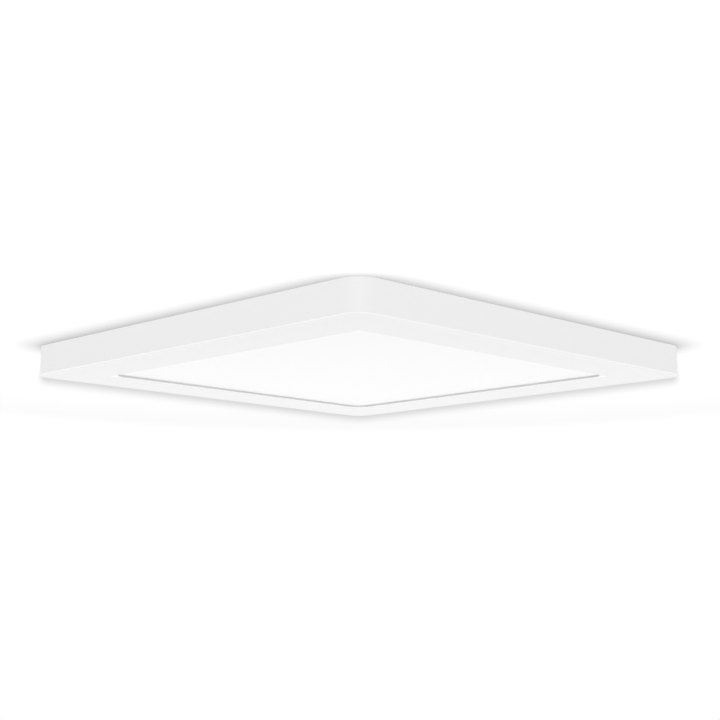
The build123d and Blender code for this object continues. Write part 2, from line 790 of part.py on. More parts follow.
# ---------------------------------------------------------------- driver
with BuildPart() as driver_tray:
    with BuildSketch(Plane.XY.offset(tray_bottom)):
        with Locations((0, tray_y)):
            mitred(tray_length, tray_width, tray_corner)
    extrude(amount=tray_rim - tray_bottom)
    with BuildSketch(Plane.XY.offset(pocket_under)):
        with Locations((0, ear_y)):
            mitred(2 * ear_x + 2 * ear_half, 2 * ear_half, tray_corner)
    extrude(amount=-ear_thickness)
    with BuildSketch(Plane.XY.offset(board_under)):
        with Locations((0, tray_y)):
            Rectangle(tray_length - 2 * tray_wall, tray_width - 2 * tray_wall)
    extrude(amount=tray_rim - board_under, mode=Mode.SUBTRACT)
    with BuildSketch(Plane.XY.offset(board_under)):
        with Locations((0, tray_y)):
            Rectangle(tray_length - 2 * (tray_wall + board_ledge), tray_width - 2 * (tray_wall + board_ledge))
    extrude(amount=-board_step, mode=Mode.SUBTRACT)
    with BuildSketch(Plane.XY.offset(pocket_under)):
        with Locations(*tray_screw_points):
            bolt_outline(screw_shank_radius + thread_clearance)
    extrude(amount=-ear_thickness, mode=Mode.SUBTRACT)
    # notches that the leads come in by
    with BuildSketch(Plane.XZ.offset(-tray_near_y)):
        for x in mains_x:
            span(x - lead_notch / 2, x + lead_notch / 2, -lead_drop - lead_notch / 2, tray_rim)
    extrude(amount=tray_wall, both=True, mode=Mode.SUBTRACT)
    with BuildSketch(Plane.YZ.offset(-tray_length / 2)):
        for y in led_lead_y:
            span(y - led_lead_notch / 2, y + led_lead_notch / 2, led_lead_z - led_lead_notch / 2, tray_rim)
    extrude(amount=tray_wall, both=True, mode=Mode.SUBTRACT)
keep("driver_tray", driver_tray.part)

board_inset = tray_wall + driver_board_gap
with BuildPart() as driver_board:
    with BuildSketch(Plane.XY.offset(board_under)):
        with Locations((0, tray_y)):
            Rectangle(tray_length - 2 * board_inset, tray_width - 2 * board_inset)
    extrude(amount=driver_board_thickness)
keep("driver_board", driver_board.part)

with BuildPart() as insulator_sheet:
    with BuildSketch(Plane.XY.offset(tray_rim)):
        with Locations((0, tray_y)):
            mitred(tray_length, tray_width, tray_corner)
        with Locations((selector_x, selector_y)):
            Rectangle(
                pocket_length + 2 * sheet + 2 * part_clear,
                pocket_width + 2 * sheet + 2 * part_clear,
                mode=Mode.SUBTRACT,
            )
    extrude(amount=insulator_thickness)
keep("insulator_sheet", insulator_sheet.part)


def block_part(x, y, length, width, height):
    """A boxed component that stands on the driver board."""
    with BuildPart() as block:
        with BuildSketch(Plane.XY.offset(board_top)):
            with Locations((x, y)):
                Rectangle(length, width)
        extrude(amount=height)
        chamfer(block.edges().group_by(Axis.Z)[-1], part_chamfer)
    return block.part


def lying_can(x, y, radius, length):
    """A round component on its side, along X, resting with a flat on the driver board."""
    with BuildPart() as can:
        with BuildSketch(Plane.YZ.offset(x - length / 2)):
            with Locations((y, board_top + radius * math.cos(math.pi / round_sides))):
                RegularPolygon(radius, round_sides, rotation=180 / round_sides)
        extrude(amount=length)
    return can.part


film_y = far_row + film_width / 2
film_height = board_room - film_clear
keep("film_capacitor", block_part(film_x, film_y, film_length, film_width, film_height))
keep("bridge_rectifier", block_part(film_x, tray_y, bridge_length, bridge_width, bridge_height))
keep("control_chip", block_part(chip_x, tray_y, chip_length, chip_width, chip_height))
input_y = near_row - input_width / 2
input_height = board_room - input_clear
keep("input_connector", block_part(0, input_y, input_length, input_width, input_height))
output_x = output_face_x + output_length / 2
output_height = board_room - output_clear
keep("output_connector", block_part(output_x, output_y, output_length, output_width, output_height))
keep("fuse", lying_can(fuse_x, near_row - fuse_radius, fuse_radius, fuse_length))
varistor_x = film_x + varistor_length / 2
keep("varistor", lying_can(varistor_x, near_row - varistor_radius, varistor_radius, varistor_length))
bulk_cans = [lying_can(x, far_row + bulk_radius, bulk_radius, bulk_length) for x in bulk_x]
keep("bulk_capacitors", Compound(children=bulk_cans))

choke_height = board_room - choke_clear
with BuildPart() as filter_choke:
    for radius, low, high in (
        (choke_radius, 0, choke_flange),
        (choke_radius - choke_flange, choke_flange, choke_height - choke_flange),
        (choke_radius, choke_height - choke_flange, choke_height),
    ):
        with BuildSketch(Plane.XY.offset(board_top + low)):
            with Locations((choke_x, tray_y)):
                RegularPolygon(radius, round_sides)
        extrude(amount=high - low)
keep("filter_choke", filter_choke.part)

core_height = board_room - core_clear
core_middle = board_top + core_height / 2
with BuildPart() as transformer_core:
    with BuildSketch(Plane.XY.offset(core_middle)):
        with Locations((core_x, tray_y)):
            Rectangle(core_length, core_width)
            Rectangle(core_length - 2 * core_leg, core_width - 2 * core_leg, mode=Mode.SUBTRACT)
    extrude(amount=core_height / 2, both=True)
    with BuildSketch(Plane.XY.offset(core_middle)):
        with Locations((core_x, tray_y)):
            Rectangle(core_centre, core_width)
    extrude(amount=core_centre / 3, both=True)
keep("transformer_core", transformer_core.part)

with BuildPart() as transformer_winding:
    with BuildSketch(Plane.XZ.offset(-tray_y)):
        with Locations((core_x, core_middle)):
            mitred(core_length - 2 * core_leg - winding_gap, core_height, core_leg / 2)
            Rectangle(core_centre + winding_gap, core_centre * 2 / 3 + winding_gap, mode=Mode.SUBTRACT)
    extrude(amount=(core_width - 2 * core_leg - winding_gap) / 2, both=True)
keep("transformer_winding", transformer_winding.part)

# ---------------------------------------------------------------- colour selector
with BuildPart() as selector_body:
    with BuildSketch(Plane.XY.offset(board_top)):
        with Locations((selector_x, selector_y)):
            Rectangle(selector_length, selector_width)
    extrude(amount=selector_top - board_top)
    with BuildSketch(Plane.XY.offset(selector_top)):
        with Locations((selector_x, selector_y)):
            Rectangle(knob_length + 2 * knob_travel + 2 * knob_gap, knob_width + 2 * knob_gap)
    extrude(amount=-knob_seat - knob_gap, mode=Mode.SUBTRACT)
keep("selector_body", selector_body.part)

with BuildPart() as selector_knob:
    with BuildSketch(Plane.XY.offset(selector_top - knob_seat)):
        with Locations((selector_x, selector_y)):
            Rectangle(knob_length, knob_width)
    extrude(amount=knob_top - selector_top + knob_seat)
    chamfer(selector_knob.edges().group_by(Axis.Z)[-1], knob_gap)
keep("selector_knob", selector_knob.part)

# ---------------------------------------------------------------- terminal block
chamber_depth = block_depth - 2 * block_wall
block_middle_y = (block_rear_y + block_front_y) / 2
with BuildPart() as terminal_block:
    with BuildSketch(Plane.XY.offset(well_floor)):
        with Locations((0, block_middle_y)):
            Rectangle(block_length, block_depth)
    extrude(amount=block_top - well_floor)
    chamfer(terminal_block.edges().group_by(Axis.Z)[-1], part_chamfer)
    with BuildSketch(Plane.XY.offset(well_floor)):
        with Locations((0, block_middle_y)), GridLocations(pole_pitch, 0, pole_count, 1):
            Rectangle(chamber_width, chamber_depth)
        span(-strip_width / 2 - button_gap, strip_width / 2 + button_gap, block_middle_y, block_front_y)
    extrude(amount=strip_thickness + button_gap, mode=Mode.SUBTRACT)
    with BuildSketch(Plane.XY.offset(well_floor)):
        with Locations((0, block_middle_y)), GridLocations(pole_pitch, 0, pole_count, 1):
            Rectangle(chamber_width, chamber_depth)
    extrude(amount=block_roof - well_floor, mode=Mode.SUBTRACT)
    with BuildSketch(Plane.XY.offset(block_roof)):
        with Locations((0, button_y)), GridLocations(pole_pitch, 0, pole_count, 1):
            Rectangle(button_width + 2 * button_gap, button_width + 2 * button_gap)
    extrude(amount=block_wall, mode=Mode.SUBTRACT)
    # funnelled wire entries
    with BuildSketch(Plane(origin=(0, block_front_y, entry_z), x_dir=(1, 0, 0), z_dir=(0, 1, 0))):
        with GridLocations(pole_pitch, 0, pole_count, 1):
            RegularPolygon(entry_radius, round_sides)
    extrude(amount=-block_wall, mode=Mode.SUBTRACT)
    front_edges = terminal_block.edges().filter_by(lambda e: abs(e.center().Y - block_front_y) < close)
    entry_edges = front_edges.filter_by(lambda e: abs(e.center().Z - entry_z) < entry_radius)
    chamfer(entry_edges.filter_by(lambda e: e.length < entry_radius), entry_funnel)
keep("terminal_block", terminal_block.part)

with BuildPart() as terminal_contacts:
    for x in pole_x:
        with BuildSketch(Plane(origin=(x, 0, 0), x_dir=(0, 1, 0), z_dir=(1, 0, 0))):
            with BuildLine():
                Polyline(
                    (block_front_y - 2 * block_wall, well_floor + strip_thickness / 2),
                    (block_rear_y + 2 * block_wall, well_floor + strip_thickness / 2),
                    (block_rear_y + 2 * block_wall, contact_top),
                    (block_front_y - 3 * block_wall, contact_tip),
                )
            trace(line_width=strip_thickness)
        extrude(amount=strip_width / 2, both=True)
    # the middle contact's foot runs out under the front wall and is riveted to the metal cover
    with BuildSketch(Plane.XY.offset(well_floor)):
        foot_start, foot_end = block_front_y - 2 * block_wall, block_front_y + ground_foot_length
        span(-strip_width / 2, strip_width / 2, foot_start, foot_end)
        with Locations((0, foot_rivet_y)):
            RegularPolygon(rivet_radius + thread_clearance, hidden_sides, mode=Mode.SUBTRACT)
    extrude(amount=strip_thickness)
keep("terminal_contacts", terminal_contacts.part)

for number, x in enumerate(pole_x, start=1):
    with BuildPart() as release_button:
        with BuildSketch(Plane.XY.offset(block_roof - button_gap)):
            with Locations((x, button_y)):
                Rectangle(button_width + 2 * button_shoulder, button_width + 2 * button_shoulder)
        extrude(amount=-(block_roof - button_gap - button_foot))
        with BuildSketch(Plane.XY.offset(block_roof - button_gap)):
            with Locations((x, button_y)):
                Rectangle(button_width, button_width)
        extrude(amount=block_top + button_proud - block_roof + button_gap)
        chamfer(release_button.edges().group_by(Axis.Z)[-1], button_gap)
    keep(f"release_button_{number}", release_button.part)

# ---------------------------------------------------------------- grommets and leads
with BuildPart() as grommets:
    for plane in grommet_planes:
        for radius, low, high in (
            (grommet_flange, 0, grommet_lip),
            (grommet_neck, -sheet, 0),
            (grommet_flange, -sheet - grommet_lip, -sheet),
        ):
            with BuildSketch(plane.offset(low)):
                RegularPolygon(radius, round_sides)
                RegularPolygon(grommet_bore, boss_sides, mode=Mode.SUBTRACT)
            extrude(amount=high - low)
keep("grommets", grommets.part)

with BuildPart() as mains_leads:
    with BuildSketch(Plane.XZ.offset(-block_rear_y)):
        for x in mains_x:
            with Locations((x, -lead_drop)):
                Circle(mains_lead_radius)
    extrude(amount=block_rear_y - near_row)
keep("mains_leads", mains_leads.part)

led_lead_end_z = (led_middle - led_lead_spread, led_middle + led_lead_spread)
with BuildPart() as led_leads:
    for y, far_x, end_z in zip(led_lead_y, led_lead_far_x, led_lead_end_z):
        route = [
            (output_face_x, y, led_lead_z),
            (far_x, y, led_lead_z),
            (far_x, -board_middle, end_z),
            (-board_length / 2, -board_middle, end_z),
        ]
        with BuildLine() as path:
            FilletPolyline(*route, radius=led_lead_bend)
        with BuildSketch(Plane(origin=route[0], z_dir=(-1, 0, 0))):
            RegularPolygon(led_lead_radius, hidden_sides)
        sweep(path=path.line)
keep("led_leads", led_leads.part)
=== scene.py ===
# %% [markdown]
# # A slim square ceiling light
# The light hangs flat under a ceiling: a white moulded frame, an opal sheet set a little up inside it,
# and behind them a pressed steel cover with a well for the bracket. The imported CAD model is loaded
# first. It holds every shape and place, in metres with +Z up, and this lesson gives each piece its
# finish and its fine detail.

# %% Load the model
import bmesh
import bpy
import json
import math
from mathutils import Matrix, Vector


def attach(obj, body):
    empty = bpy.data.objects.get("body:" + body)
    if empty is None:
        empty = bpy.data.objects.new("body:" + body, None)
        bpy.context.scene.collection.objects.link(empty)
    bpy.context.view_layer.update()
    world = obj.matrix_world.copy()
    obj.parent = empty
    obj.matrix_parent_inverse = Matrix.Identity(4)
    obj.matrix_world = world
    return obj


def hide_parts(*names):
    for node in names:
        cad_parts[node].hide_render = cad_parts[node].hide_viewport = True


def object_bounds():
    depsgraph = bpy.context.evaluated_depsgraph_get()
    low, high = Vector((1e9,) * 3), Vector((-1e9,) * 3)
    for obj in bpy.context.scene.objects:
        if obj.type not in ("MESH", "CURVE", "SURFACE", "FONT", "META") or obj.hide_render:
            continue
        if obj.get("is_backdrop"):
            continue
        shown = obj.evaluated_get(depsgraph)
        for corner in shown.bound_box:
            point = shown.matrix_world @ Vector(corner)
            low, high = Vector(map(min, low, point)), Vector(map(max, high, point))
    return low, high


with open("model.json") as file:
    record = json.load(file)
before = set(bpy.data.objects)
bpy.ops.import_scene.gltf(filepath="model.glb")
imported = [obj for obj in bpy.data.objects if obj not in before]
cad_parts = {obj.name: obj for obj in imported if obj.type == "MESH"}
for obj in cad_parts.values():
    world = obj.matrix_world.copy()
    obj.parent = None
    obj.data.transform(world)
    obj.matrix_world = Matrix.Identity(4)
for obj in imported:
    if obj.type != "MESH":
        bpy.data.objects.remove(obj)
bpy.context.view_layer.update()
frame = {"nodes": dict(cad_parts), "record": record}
nodes = frame["nodes"]
body_of = {node: body for body, held in frame["record"]["behaviour"]["bodies"].items() for node in held}
slot_of = {part["node"]: part["material_slot"] for part in frame["record"]["subparts"]}
MM = 0.001

# %% [markdown]
# ## Nodes
# A finish is a small tree of shader nodes. Writing each tree out by hand is long and hides what
# matters, so two helpers do the wiring: one adds a node and fills its sockets, the other puts a texture
# on the piece's own coordinates, so that its scale is in patterns per metre and it stays with the piece
# when it moves.

# %% Node helpers
def put(tree, kind, settings=None, **sockets):
    """Add a node. A socket is given by name or number, and takes a value or another node's output."""
    made = tree.nodes.new(kind)
    for key, value in (settings or {}).items():
        setattr(made, key, value)
    for key, value in sockets.items():
        socket = made.inputs[int(key[1:])] if key[0] == "_" else made.inputs[key.replace("_", " ")]
        if isinstance(value, bpy.types.NodeSocket):
            tree.links.new(value, socket)
        else:
            socket.default_value = value
    return made


def pattern(tree, kind, scale, settings=None, stretch=(1, 1, 1), turn=(0, 0, 0), **sockets):
    """A texture on the piece's own coordinates, stretched and turned as asked."""
    own = put(tree, "ShaderNodeTexCoord").outputs["Object"]
    laid = put(tree, "ShaderNodeMapping", Vector=own, Rotation=turn, Scale=stretch).outputs["Vector"]
    return put(tree, kind, settings, Vector=laid, Scale=scale, **sockets)


def between(tree, factor, low, high):
    """A number that runs from low to high as the factor runs from 0 to 1."""
    return put(tree, "ShaderNodeMapRange", Value=factor, To_Min=low, To_Max=high).outputs["Result"]


def shades(tree, factor, *stops):
    """Colours laid along a factor, each stop a place and a colour."""
    ramp = put(tree, "ShaderNodeValToRGB", Fac=factor)
    points = ramp.color_ramp.elements
    while len(points) < len(stops):
        points.new(0.5)
    for point, (place, colour) in zip(points, stops):
        point.position, point.color = place, (*colour, 1)
    return ramp.outputs["Color"]


def relief(tree, height, strength, depth, under=None):
    """A bump of this depth in metres, on top of another one if there is one."""
    bump = put(tree, "ShaderNodeBump", Height=height, Strength=strength, Distance=depth)
    if under:
        tree.links.new(under, bump.inputs["Normal"])
    return bump.outputs["Normal"]


def reckon(tree, operation, first, second):
    """One number from two: add, multiply, take the larger and so on."""
    return put(tree, "ShaderNodeMath", {"operation": operation}, _0=first, _1=second).outputs["Value"]


def tinted(colour, share):
    """A colour made lighter or darker by a share of itself."""
    return tuple(min(1, part * share) for part in colour)


def finish(name, **sockets):
    """A new material with a Principled shader: its name, then the shader's own sockets."""
    made = bpy.data.materials.new(name)
    made.use_nodes = True
    tree = made.node_tree
    tree.nodes.clear()
    shader = put(tree, "ShaderNodeBsdfPrincipled", **sockets)
    put(tree, "ShaderNodeOutputMaterial", Surface=shader.outputs["BSDF"])
    return made, tree, shader


def wire(tree, shader, **sockets):
    """Link outputs to the shader's sockets."""
    for key, value in sockets.items():
        tree.links.new(value, shader.inputs[key.replace("_", " ")])


print("helpers for finishes are ready")

# %% [markdown]
# ## Moulded plastic
# The frame, the driver's tray, the terminal block and most small parts are injection moulded. Such a
# surface is never quite even: the tool's spark-eroded texture leaves a grain of a few tenths of a
# millimetre, and the gloss drifts a little where the melt flowed. Noise at two scales gives both. One
# function makes all of them, because they differ only in colour, gloss and grain.

# %% Moulded finishes
def moulded(name, colour, gloss, grain=2600, depth=0.012, drift=0.02, **sockets):
    """Plastic with a fine moulded grain: gloss is the lowest and highest roughness."""
    made, tree, shader = finish(name, **sockets)
    fine = pattern(tree, "ShaderNodeTexNoise", grain, Detail=3, Roughness=0.6).outputs["Fac"]
    slow = pattern(tree, "ShaderNodeTexNoise", 22, Detail=4, Roughness=0.55).outputs["Fac"]
    wire(
        tree,
        shader,
        Base_Color=shades(tree, slow, (0.3, tinted(colour, 1 - drift)), (0.7, colour)),
        Roughness=between(tree, slow, *gloss),
        Normal=relief(tree, fine, 0.35, depth * MM),
    )
    return made


looks = {
    "white_trim": moulded(
        "satin white moulding",
        (0.86, 0.86, 0.862),
        (0.36, 0.42),
        drift=0.006,
        Coat_Weight=0.35,
        Coat_Roughness=0.15,
    ),
    "black_plastic": moulded("black moulding", (0.035, 0.035, 0.037), (0.42, 0.55), grain=1800, depth=0.02),
    "black_component": moulded("black moulded case", (0.03, 0.03, 0.032), (0.3, 0.5), grain=3000),
    "white_nylon": moulded("natural nylon", (0.80, 0.79, 0.75), (0.34, 0.42), grain=1500),
    "terminal_plastic": moulded(
        "light grey polyamide", (0.63, 0.64, 0.64), (0.3, 0.4), grain=1800, drift=0.04
    ),
    "orange_plastic": moulded("orange moulding", (0.80, 0.22, 0.03), (0.24, 0.32), grain=2000, drift=0.06),
    "red_component": moulded("red dipped coat", (0.45, 0.045, 0.03), (0.14, 0.22), grain=500, depth=0.05),
    "blue_component": moulded("blue dipped coat", (0.05, 0.16, 0.42), (0.16, 0.26), grain=500, depth=0.05),
    "ceramic_body": moulded("glazed ceramic", (0.76, 0.72, 0.63), (0.1, 0.2), grain=700, drift=0.05),
    "ferrite": moulded("sintered ferrite", (0.045, 0.044, 0.046), (0.5, 0.7), grain=5000, depth=0.03),
    "black_rubber": moulded("black rubber", (0.022, 0.022, 0.023), (0.55, 0.7), grain=3200, depth=0.02),
}
print(len(looks), "moulded finishes")

# %% [markdown]
# A rounded edge of white plastic looks lighter than the flats beside it: some light passes through the
# edge, and the rounding catches light. Scattering would show part of that at a great cost in noise; here
# the lighter edge is a painted highlight: the frame's colour is raised where its surface slopes down
# between wall and bezel, which the surface normal tells, and on the thin rim round the light opening,
# which the place tells: nothing else of the frame lies so near the middle.

# %% Painted edge highlights
RIM_HIGHLIGHT_REACH = 0.3 * MM
OPENING = 116 * MM
# The colour of the painted highlight on the frame's edges.
EDGE_HIGHLIGHT = (0.98, 0.98, 0.98)


def paint_edge_highlights(material, colour, rim):
    """Paint a highlight into the colour on the roundings under the piece, and on all that lies nearer the
    middle than the rim. How far the surface faces down is 0 on a wall and 1 on the bezel."""
    tree = material.node_tree
    shader = next(node for node in tree.nodes if node.type == "BSDF_PRINCIPLED")
    plain = shader.inputs["Base Color"].links[0].from_socket
    facing = put(tree, "ShaderNodeNewGeometry").outputs["Normal"]
    down = reckon(tree, "MULTIPLY", put(tree, "ShaderNodeSeparateXYZ", Vector=facing).outputs["Z"], -1)
    black, white = (0, 0, 0), (1, 1, 1)
    highlight_slope = shades(tree, down, (0.1, black), (0.3, white), (0.88, white), (0.98, black))
    own = put(tree, "ShaderNodeTexCoord").outputs["Object"]
    apart = put(tree, "ShaderNodeVectorMath", {"operation": "ABSOLUTE"}, _0=own).outputs["Vector"]
    sides = put(tree, "ShaderNodeSeparateXYZ", Vector=apart).outputs
    inside = reckon(tree, "LESS_THAN", reckon(tree, "MAXIMUM", sides["X"], sides["Y"]), rim)
    edge = reckon(tree, "MAXIMUM", highlight_slope, inside)
    mixed = put(tree, "ShaderNodeMix", {"data_type": "RGBA"}, Factor=edge)
    tree.links.new(plain, mixed.inputs["A"])
    mixed.inputs["B"].default_value = (*colour, 1)
    wire(tree, shader, Base_Color=mixed.outputs["Result"])


# Painted highlight: a lighter colour on the frame's lower rounded edge and on the rim of its opening.
paint_edge_highlights(looks["white_trim"], EDGE_HIGHLIGHT, OPENING + RIM_HIGHLIGHT_REACH)
print("the frame's edges are lighter than its flats")

# %% [markdown]
# ## Opal acrylic
# The diffuser is a cast sheet filled with white pigment, so light leaves it evenly from a thin layer
# under the face. It could be made with volume or subsurface scattering, but the sheet lies against a
# white reflector, so all that spreads comes back and only noise is gained. A nearly white base with a
# satin face gives the same soft white.

# %% Diffuser finish
looks["opal_diffuser"], tree, shader = finish("opal acrylic", Specular_IOR_Level=0.45)
cloud = pattern(tree, "ShaderNodeTexNoise", 12, Detail=3).outputs["Fac"]
satin = pattern(tree, "ShaderNodeTexNoise", 4200, Detail=2).outputs["Fac"]
wire(
    tree,
    shader,
    Base_Color=shades(tree, cloud, (0.35, (0.957, 0.957, 0.957)), (0.65, (0.961, 0.961, 0.961))),
    Roughness=between(tree, satin, 0.38, 0.46),
    Normal=relief(tree, satin, 0.2, 0.006 * MM),
)
print("opal sheet is ready")

# %% [markdown]
# ## Coated and plated steel
# The cover is sheet steel with a white powder coat, whose skin has the soft waves called orange peel.
# The bracket is galvanised: zinc crystals freeze on it in flat patches, the spangle, each with its own
# tone and its own gloss. Voronoi cells are just such patches. The clips are rolled strip, so their
# grain is drawn out along the strip.

# %% Steel finishes
looks["coated_steel"], tree, shader = finish("white powder coat", Metallic=0, Specular_IOR_Level=0.5)
peel = pattern(tree, "ShaderNodeTexNoise", 420, Detail=2, Roughness=0.4).outputs["Fac"]
speck = pattern(tree, "ShaderNodeTexNoise", 3500, Detail=2).outputs["Fac"]
tone = pattern(tree, "ShaderNodeTexNoise", 14, Detail=4).outputs["Fac"]
wire(
    tree,
    shader,
    Base_Color=shades(tree, tone, (0.3, (0.72, 0.72, 0.715)), (0.7, (0.76, 0.76, 0.755))),
    Roughness=between(tree, peel, 0.3, 0.44),
    Normal=relief(tree, speck, 0.2, 0.01 * MM, relief(tree, peel, 0.5, 0.035 * MM)),
)


def plated(name, colour, gloss, spangle, contrast=0.14, **sockets):
    """Zinc over steel: crystals this many to the metre, under a fine etched grain."""
    made, tree, shader = finish(name, Metallic=1.0, **sockets)
    bent = pattern(tree, "ShaderNodeTexNoise", spangle * 0.8, Detail=2).outputs["Color"]
    own = put(tree, "ShaderNodeTexCoord").outputs["Object"]
    half = (0.5 / spangle,) * 3
    shift = put(tree, "ShaderNodeVectorMath", {"operation": "MULTIPLY_ADD"}, _0=bent, _1=half, _2=own)
    crystal = put(tree, "ShaderNodeTexVoronoi", Vector=shift.outputs["Vector"], Scale=spangle)
    patch = put(tree, "ShaderNodeSeparateColor", Color=crystal.outputs["Color"]).outputs["Red"]
    etch = pattern(tree, "ShaderNodeTexNoise", 2400, Detail=4, Roughness=0.7).outputs["Fac"]
    dull, bright = tinted(colour, 1 - contrast), tinted(colour, 1 + contrast)
    wire(
        tree,
        shader,
        Base_Color=shades(tree, patch, (0.05, dull), (0.95, bright)),
        Roughness=between(tree, patch, *gloss),
        Normal=relief(tree, etch, 0.25, 0.01 * MM, relief(tree, patch, 0.15, 0.01 * MM)),
    )
    return made


looks["galvanised_steel"] = plated("galvanised spangle", (0.58, 0.60, 0.62), (0.3, 0.46), 240, contrast=0.09)
looks["zinc_steel"] = plated("zinc plate", (0.66, 0.66, 0.63), (0.2, 0.32), 900, contrast=0.06)
looks["tinned_brass"] = plated("tinned brass", (0.68, 0.64, 0.52), (0.18, 0.3), 700, contrast=0.08)
looks["green_screw"] = plated("green passivated zinc", (0.05, 0.30, 0.10), (0.24, 0.36), 600, contrast=0.2)


def drawn(name, colour, gloss, along, **sockets):
    """Metal with fine lines along one of the axes, x, y or z, as rolling or extrusion leaves them."""
    made, tree, shader = finish(name, Metallic=1.0, **sockets)
    stretch = tuple(0.02 if axis == along else 1 for axis in "xyz")
    lines = pattern(tree, "ShaderNodeTexNoise", 2600, stretch=stretch, Detail=3, Roughness=0.65)
    lines = lines.outputs["Fac"]
    tone = pattern(tree, "ShaderNodeTexNoise", 40, Detail=3).outputs["Fac"]
    wire(
        tree,
        shader,
        Base_Color=shades(tree, tone, (0.3, tinted(colour, 0.9)), (0.7, tinted(colour, 1.06))),
        Roughness=between(tree, lines, *gloss),
        Normal=relief(tree, lines, 0.3, 0.012 * MM),
    )
    return made


looks["spring_steel"] = drawn("rolled spring strip", (0.50, 0.50, 0.51), (0.2, 0.36), "y")
ALUMINIUM = (0.72, 0.73, 0.74)
for side, along in (("front", "x"), ("back", "x"), ("left", "y"), ("right", "y")):
    looks[f"heat_rail_{side}"] = drawn("extruded aluminium " + side, ALUMINIUM, (0.26, 0.42), along)
print("steel and aluminium finishes are ready")

# %% [markdown]
# ## Sheets, boards and small goods
# The rest is seen only when the cover is off. The light guide is clear acrylic with rows of printed
# dots that throw the light out, the boards are glass laminate under a solder mask with buried copper
# tracks, and the insulator is a fibre sheet. Each gets the pattern that makes it what it is.

# %% Sheet and board finishes
looks["clear_acrylic"], tree, shader = finish(
    "clear acrylic with dots", Transmission_Weight=0.7, IOR=1.49, Specular_IOR_Level=0.5
)
dots = pattern(tree, "ShaderNodeTexVoronoi", 500, Randomness=0.0).outputs["Distance"]
wire(
    tree,
    shader,
    Base_Color=shades(tree, dots, (0.25, (0.97, 0.97, 0.97)), (0.32, (0.84, 0.88, 0.90))),
    Roughness=between(tree, dots, 0.4, 0.05),
)


def laminate(name, mask, track, gloss):
    """Solder mask over laminate, a little raised and lighter where copper runs under it."""
    made, tree, shader = finish(name, Coat_Weight=0.3, Coat_Roughness=0.2)
    routes = pattern(tree, "ShaderNodeTexVoronoi", 260, {"distance": "MANHATTAN"}, Randomness=0.6)
    copper = put(tree, "ShaderNodeMath", {"operation": "PINGPONG"}, _0=routes.outputs["Distance"], _1=0.22)
    weave = pattern(tree, "ShaderNodeTexNoise", 1800, Detail=2).outputs["Fac"]
    wire(
        tree,
        shader,
        Base_Color=shades(tree, copper.outputs["Value"], (0.08, mask), (0.12, track)),
        Roughness=between(tree, weave, *gloss),
        Normal=relief(tree, copper.outputs["Value"], 0.2, 0.02 * MM),
    )
    return made


looks["green_laminate"] = laminate("green solder mask", (0.02, 0.16, 0.06), (0.04, 0.24, 0.09), (0.25, 0.35))
looks["white_laminate"] = laminate("white solder mask", (0.82, 0.82, 0.80), (0.86, 0.86, 0.84), (0.3, 0.4))


def fibrous(name, colour, coarse, gloss, depth, contrast=0.12, **sockets):
    """Paper, film or foam: soft cells or fibres of this many to the metre."""
    made, tree, shader = finish(name, **sockets)
    cells = pattern(tree, "ShaderNodeTexVoronoi", coarse).outputs["Distance"]
    fibres = pattern(tree, "ShaderNodeTexNoise", coarse, stretch=(1, 0.2, 1), Detail=5).outputs["Fac"]
    dull, bright = tinted(colour, 1 - contrast), tinted(colour, 1 + contrast)
    wire(
        tree,
        shader,
        Base_Color=shades(tree, fibres, (0.3, dull), (0.7, bright)),
        Roughness=between(tree, fibres, *gloss),
        Normal=relief(tree, cells, 0.5, depth * MM),
    )
    return made


looks["white_film"] = fibrous("white reflector film", (0.90, 0.90, 0.90), 1200, (0.4, 0.55), 0.01, 0.02)
looks["grey_foam"] = fibrous("closed cell foam", (0.12, 0.12, 0.125), 900, (0.85, 0.95), 0.2)
looks["insulating_paper"] = fibrous("fibre insulator", (0.42, 0.37, 0.27), 700, (0.6, 0.75), 0.03)

looks["yellow_tape"], tree, shader = finish(
    "yellow tape over the winding", Coat_Weight=0.4, Coat_Roughness=0.15
)
wraps = pattern(tree, "ShaderNodeTexWave", 220, {"bands_direction": "Y"}, Distortion=0.6).outputs["Fac"]
wire(
    tree,
    shader,
    Base_Color=shades(tree, wraps, (0.1, (0.62, 0.46, 0.05)), (0.4, (0.74, 0.58, 0.08))),
    Roughness=between(tree, wraps, 0.3, 0.2),
    Normal=relief(tree, wraps, 0.3, 0.03 * MM),
)

looks["phosphor"] = moulded("white package", (0.82, 0.82, 0.80), (0.35, 0.45))
phosphor_fill = moulded("yellow phosphor", (0.80, 0.62, 0.10), (0.5, 0.6), grain=6000, drift=0.1)
print(len(looks), "finishes in all")

# %% [markdown]
# ## Lead insulation
# One mains lead is black and the other white, and both are one piece in the model. Their colour can
# follow where they lie, because the piece's own X coordinate tells the two apart.

# %% Lead finish
looks["lead_insulation"], tree, shader = finish("lead insulation", Specular_IOR_Level=0.5)
own = put(tree, "ShaderNodeTexCoord").outputs["Object"]
which = put(tree, "ShaderNodeSeparateXYZ", Vector=own).outputs["X"]
near_white = put(tree, "ShaderNodeMapRange", Value=which, From_Min=-0.001, From_Max=0.001).outputs["Result"]
scuff = pattern(tree, "ShaderNodeTexNoise", 900, Detail=3).outputs["Fac"]
wire(
    tree,
    shader,
    Base_Color=shades(tree, near_white, (0.4, (0.025, 0.025, 0.027)), (0.6, (0.78, 0.78, 0.76))),
    Roughness=between(tree, scuff, 0.28, 0.42),
    Normal=relief(tree, scuff, 0.15, 0.02 * MM),
)
print("lead insulation is ready")

# %% [markdown]
# ## Paint every node
# Each CAD piece names its finish, so one loop paints them all. The heat rails are drawn along their own
# length and have a finish to themselves.

# %% Give the model its finishes
def paint(piece, material):
    """The piece has this finish and no other."""
    piece.data.materials.clear()
    piece.data.materials.append(material)


for node, piece in nodes.items():
    paint(piece, looks.get(node) or looks[slot_of[node]])
print(len(nodes), "pieces painted")

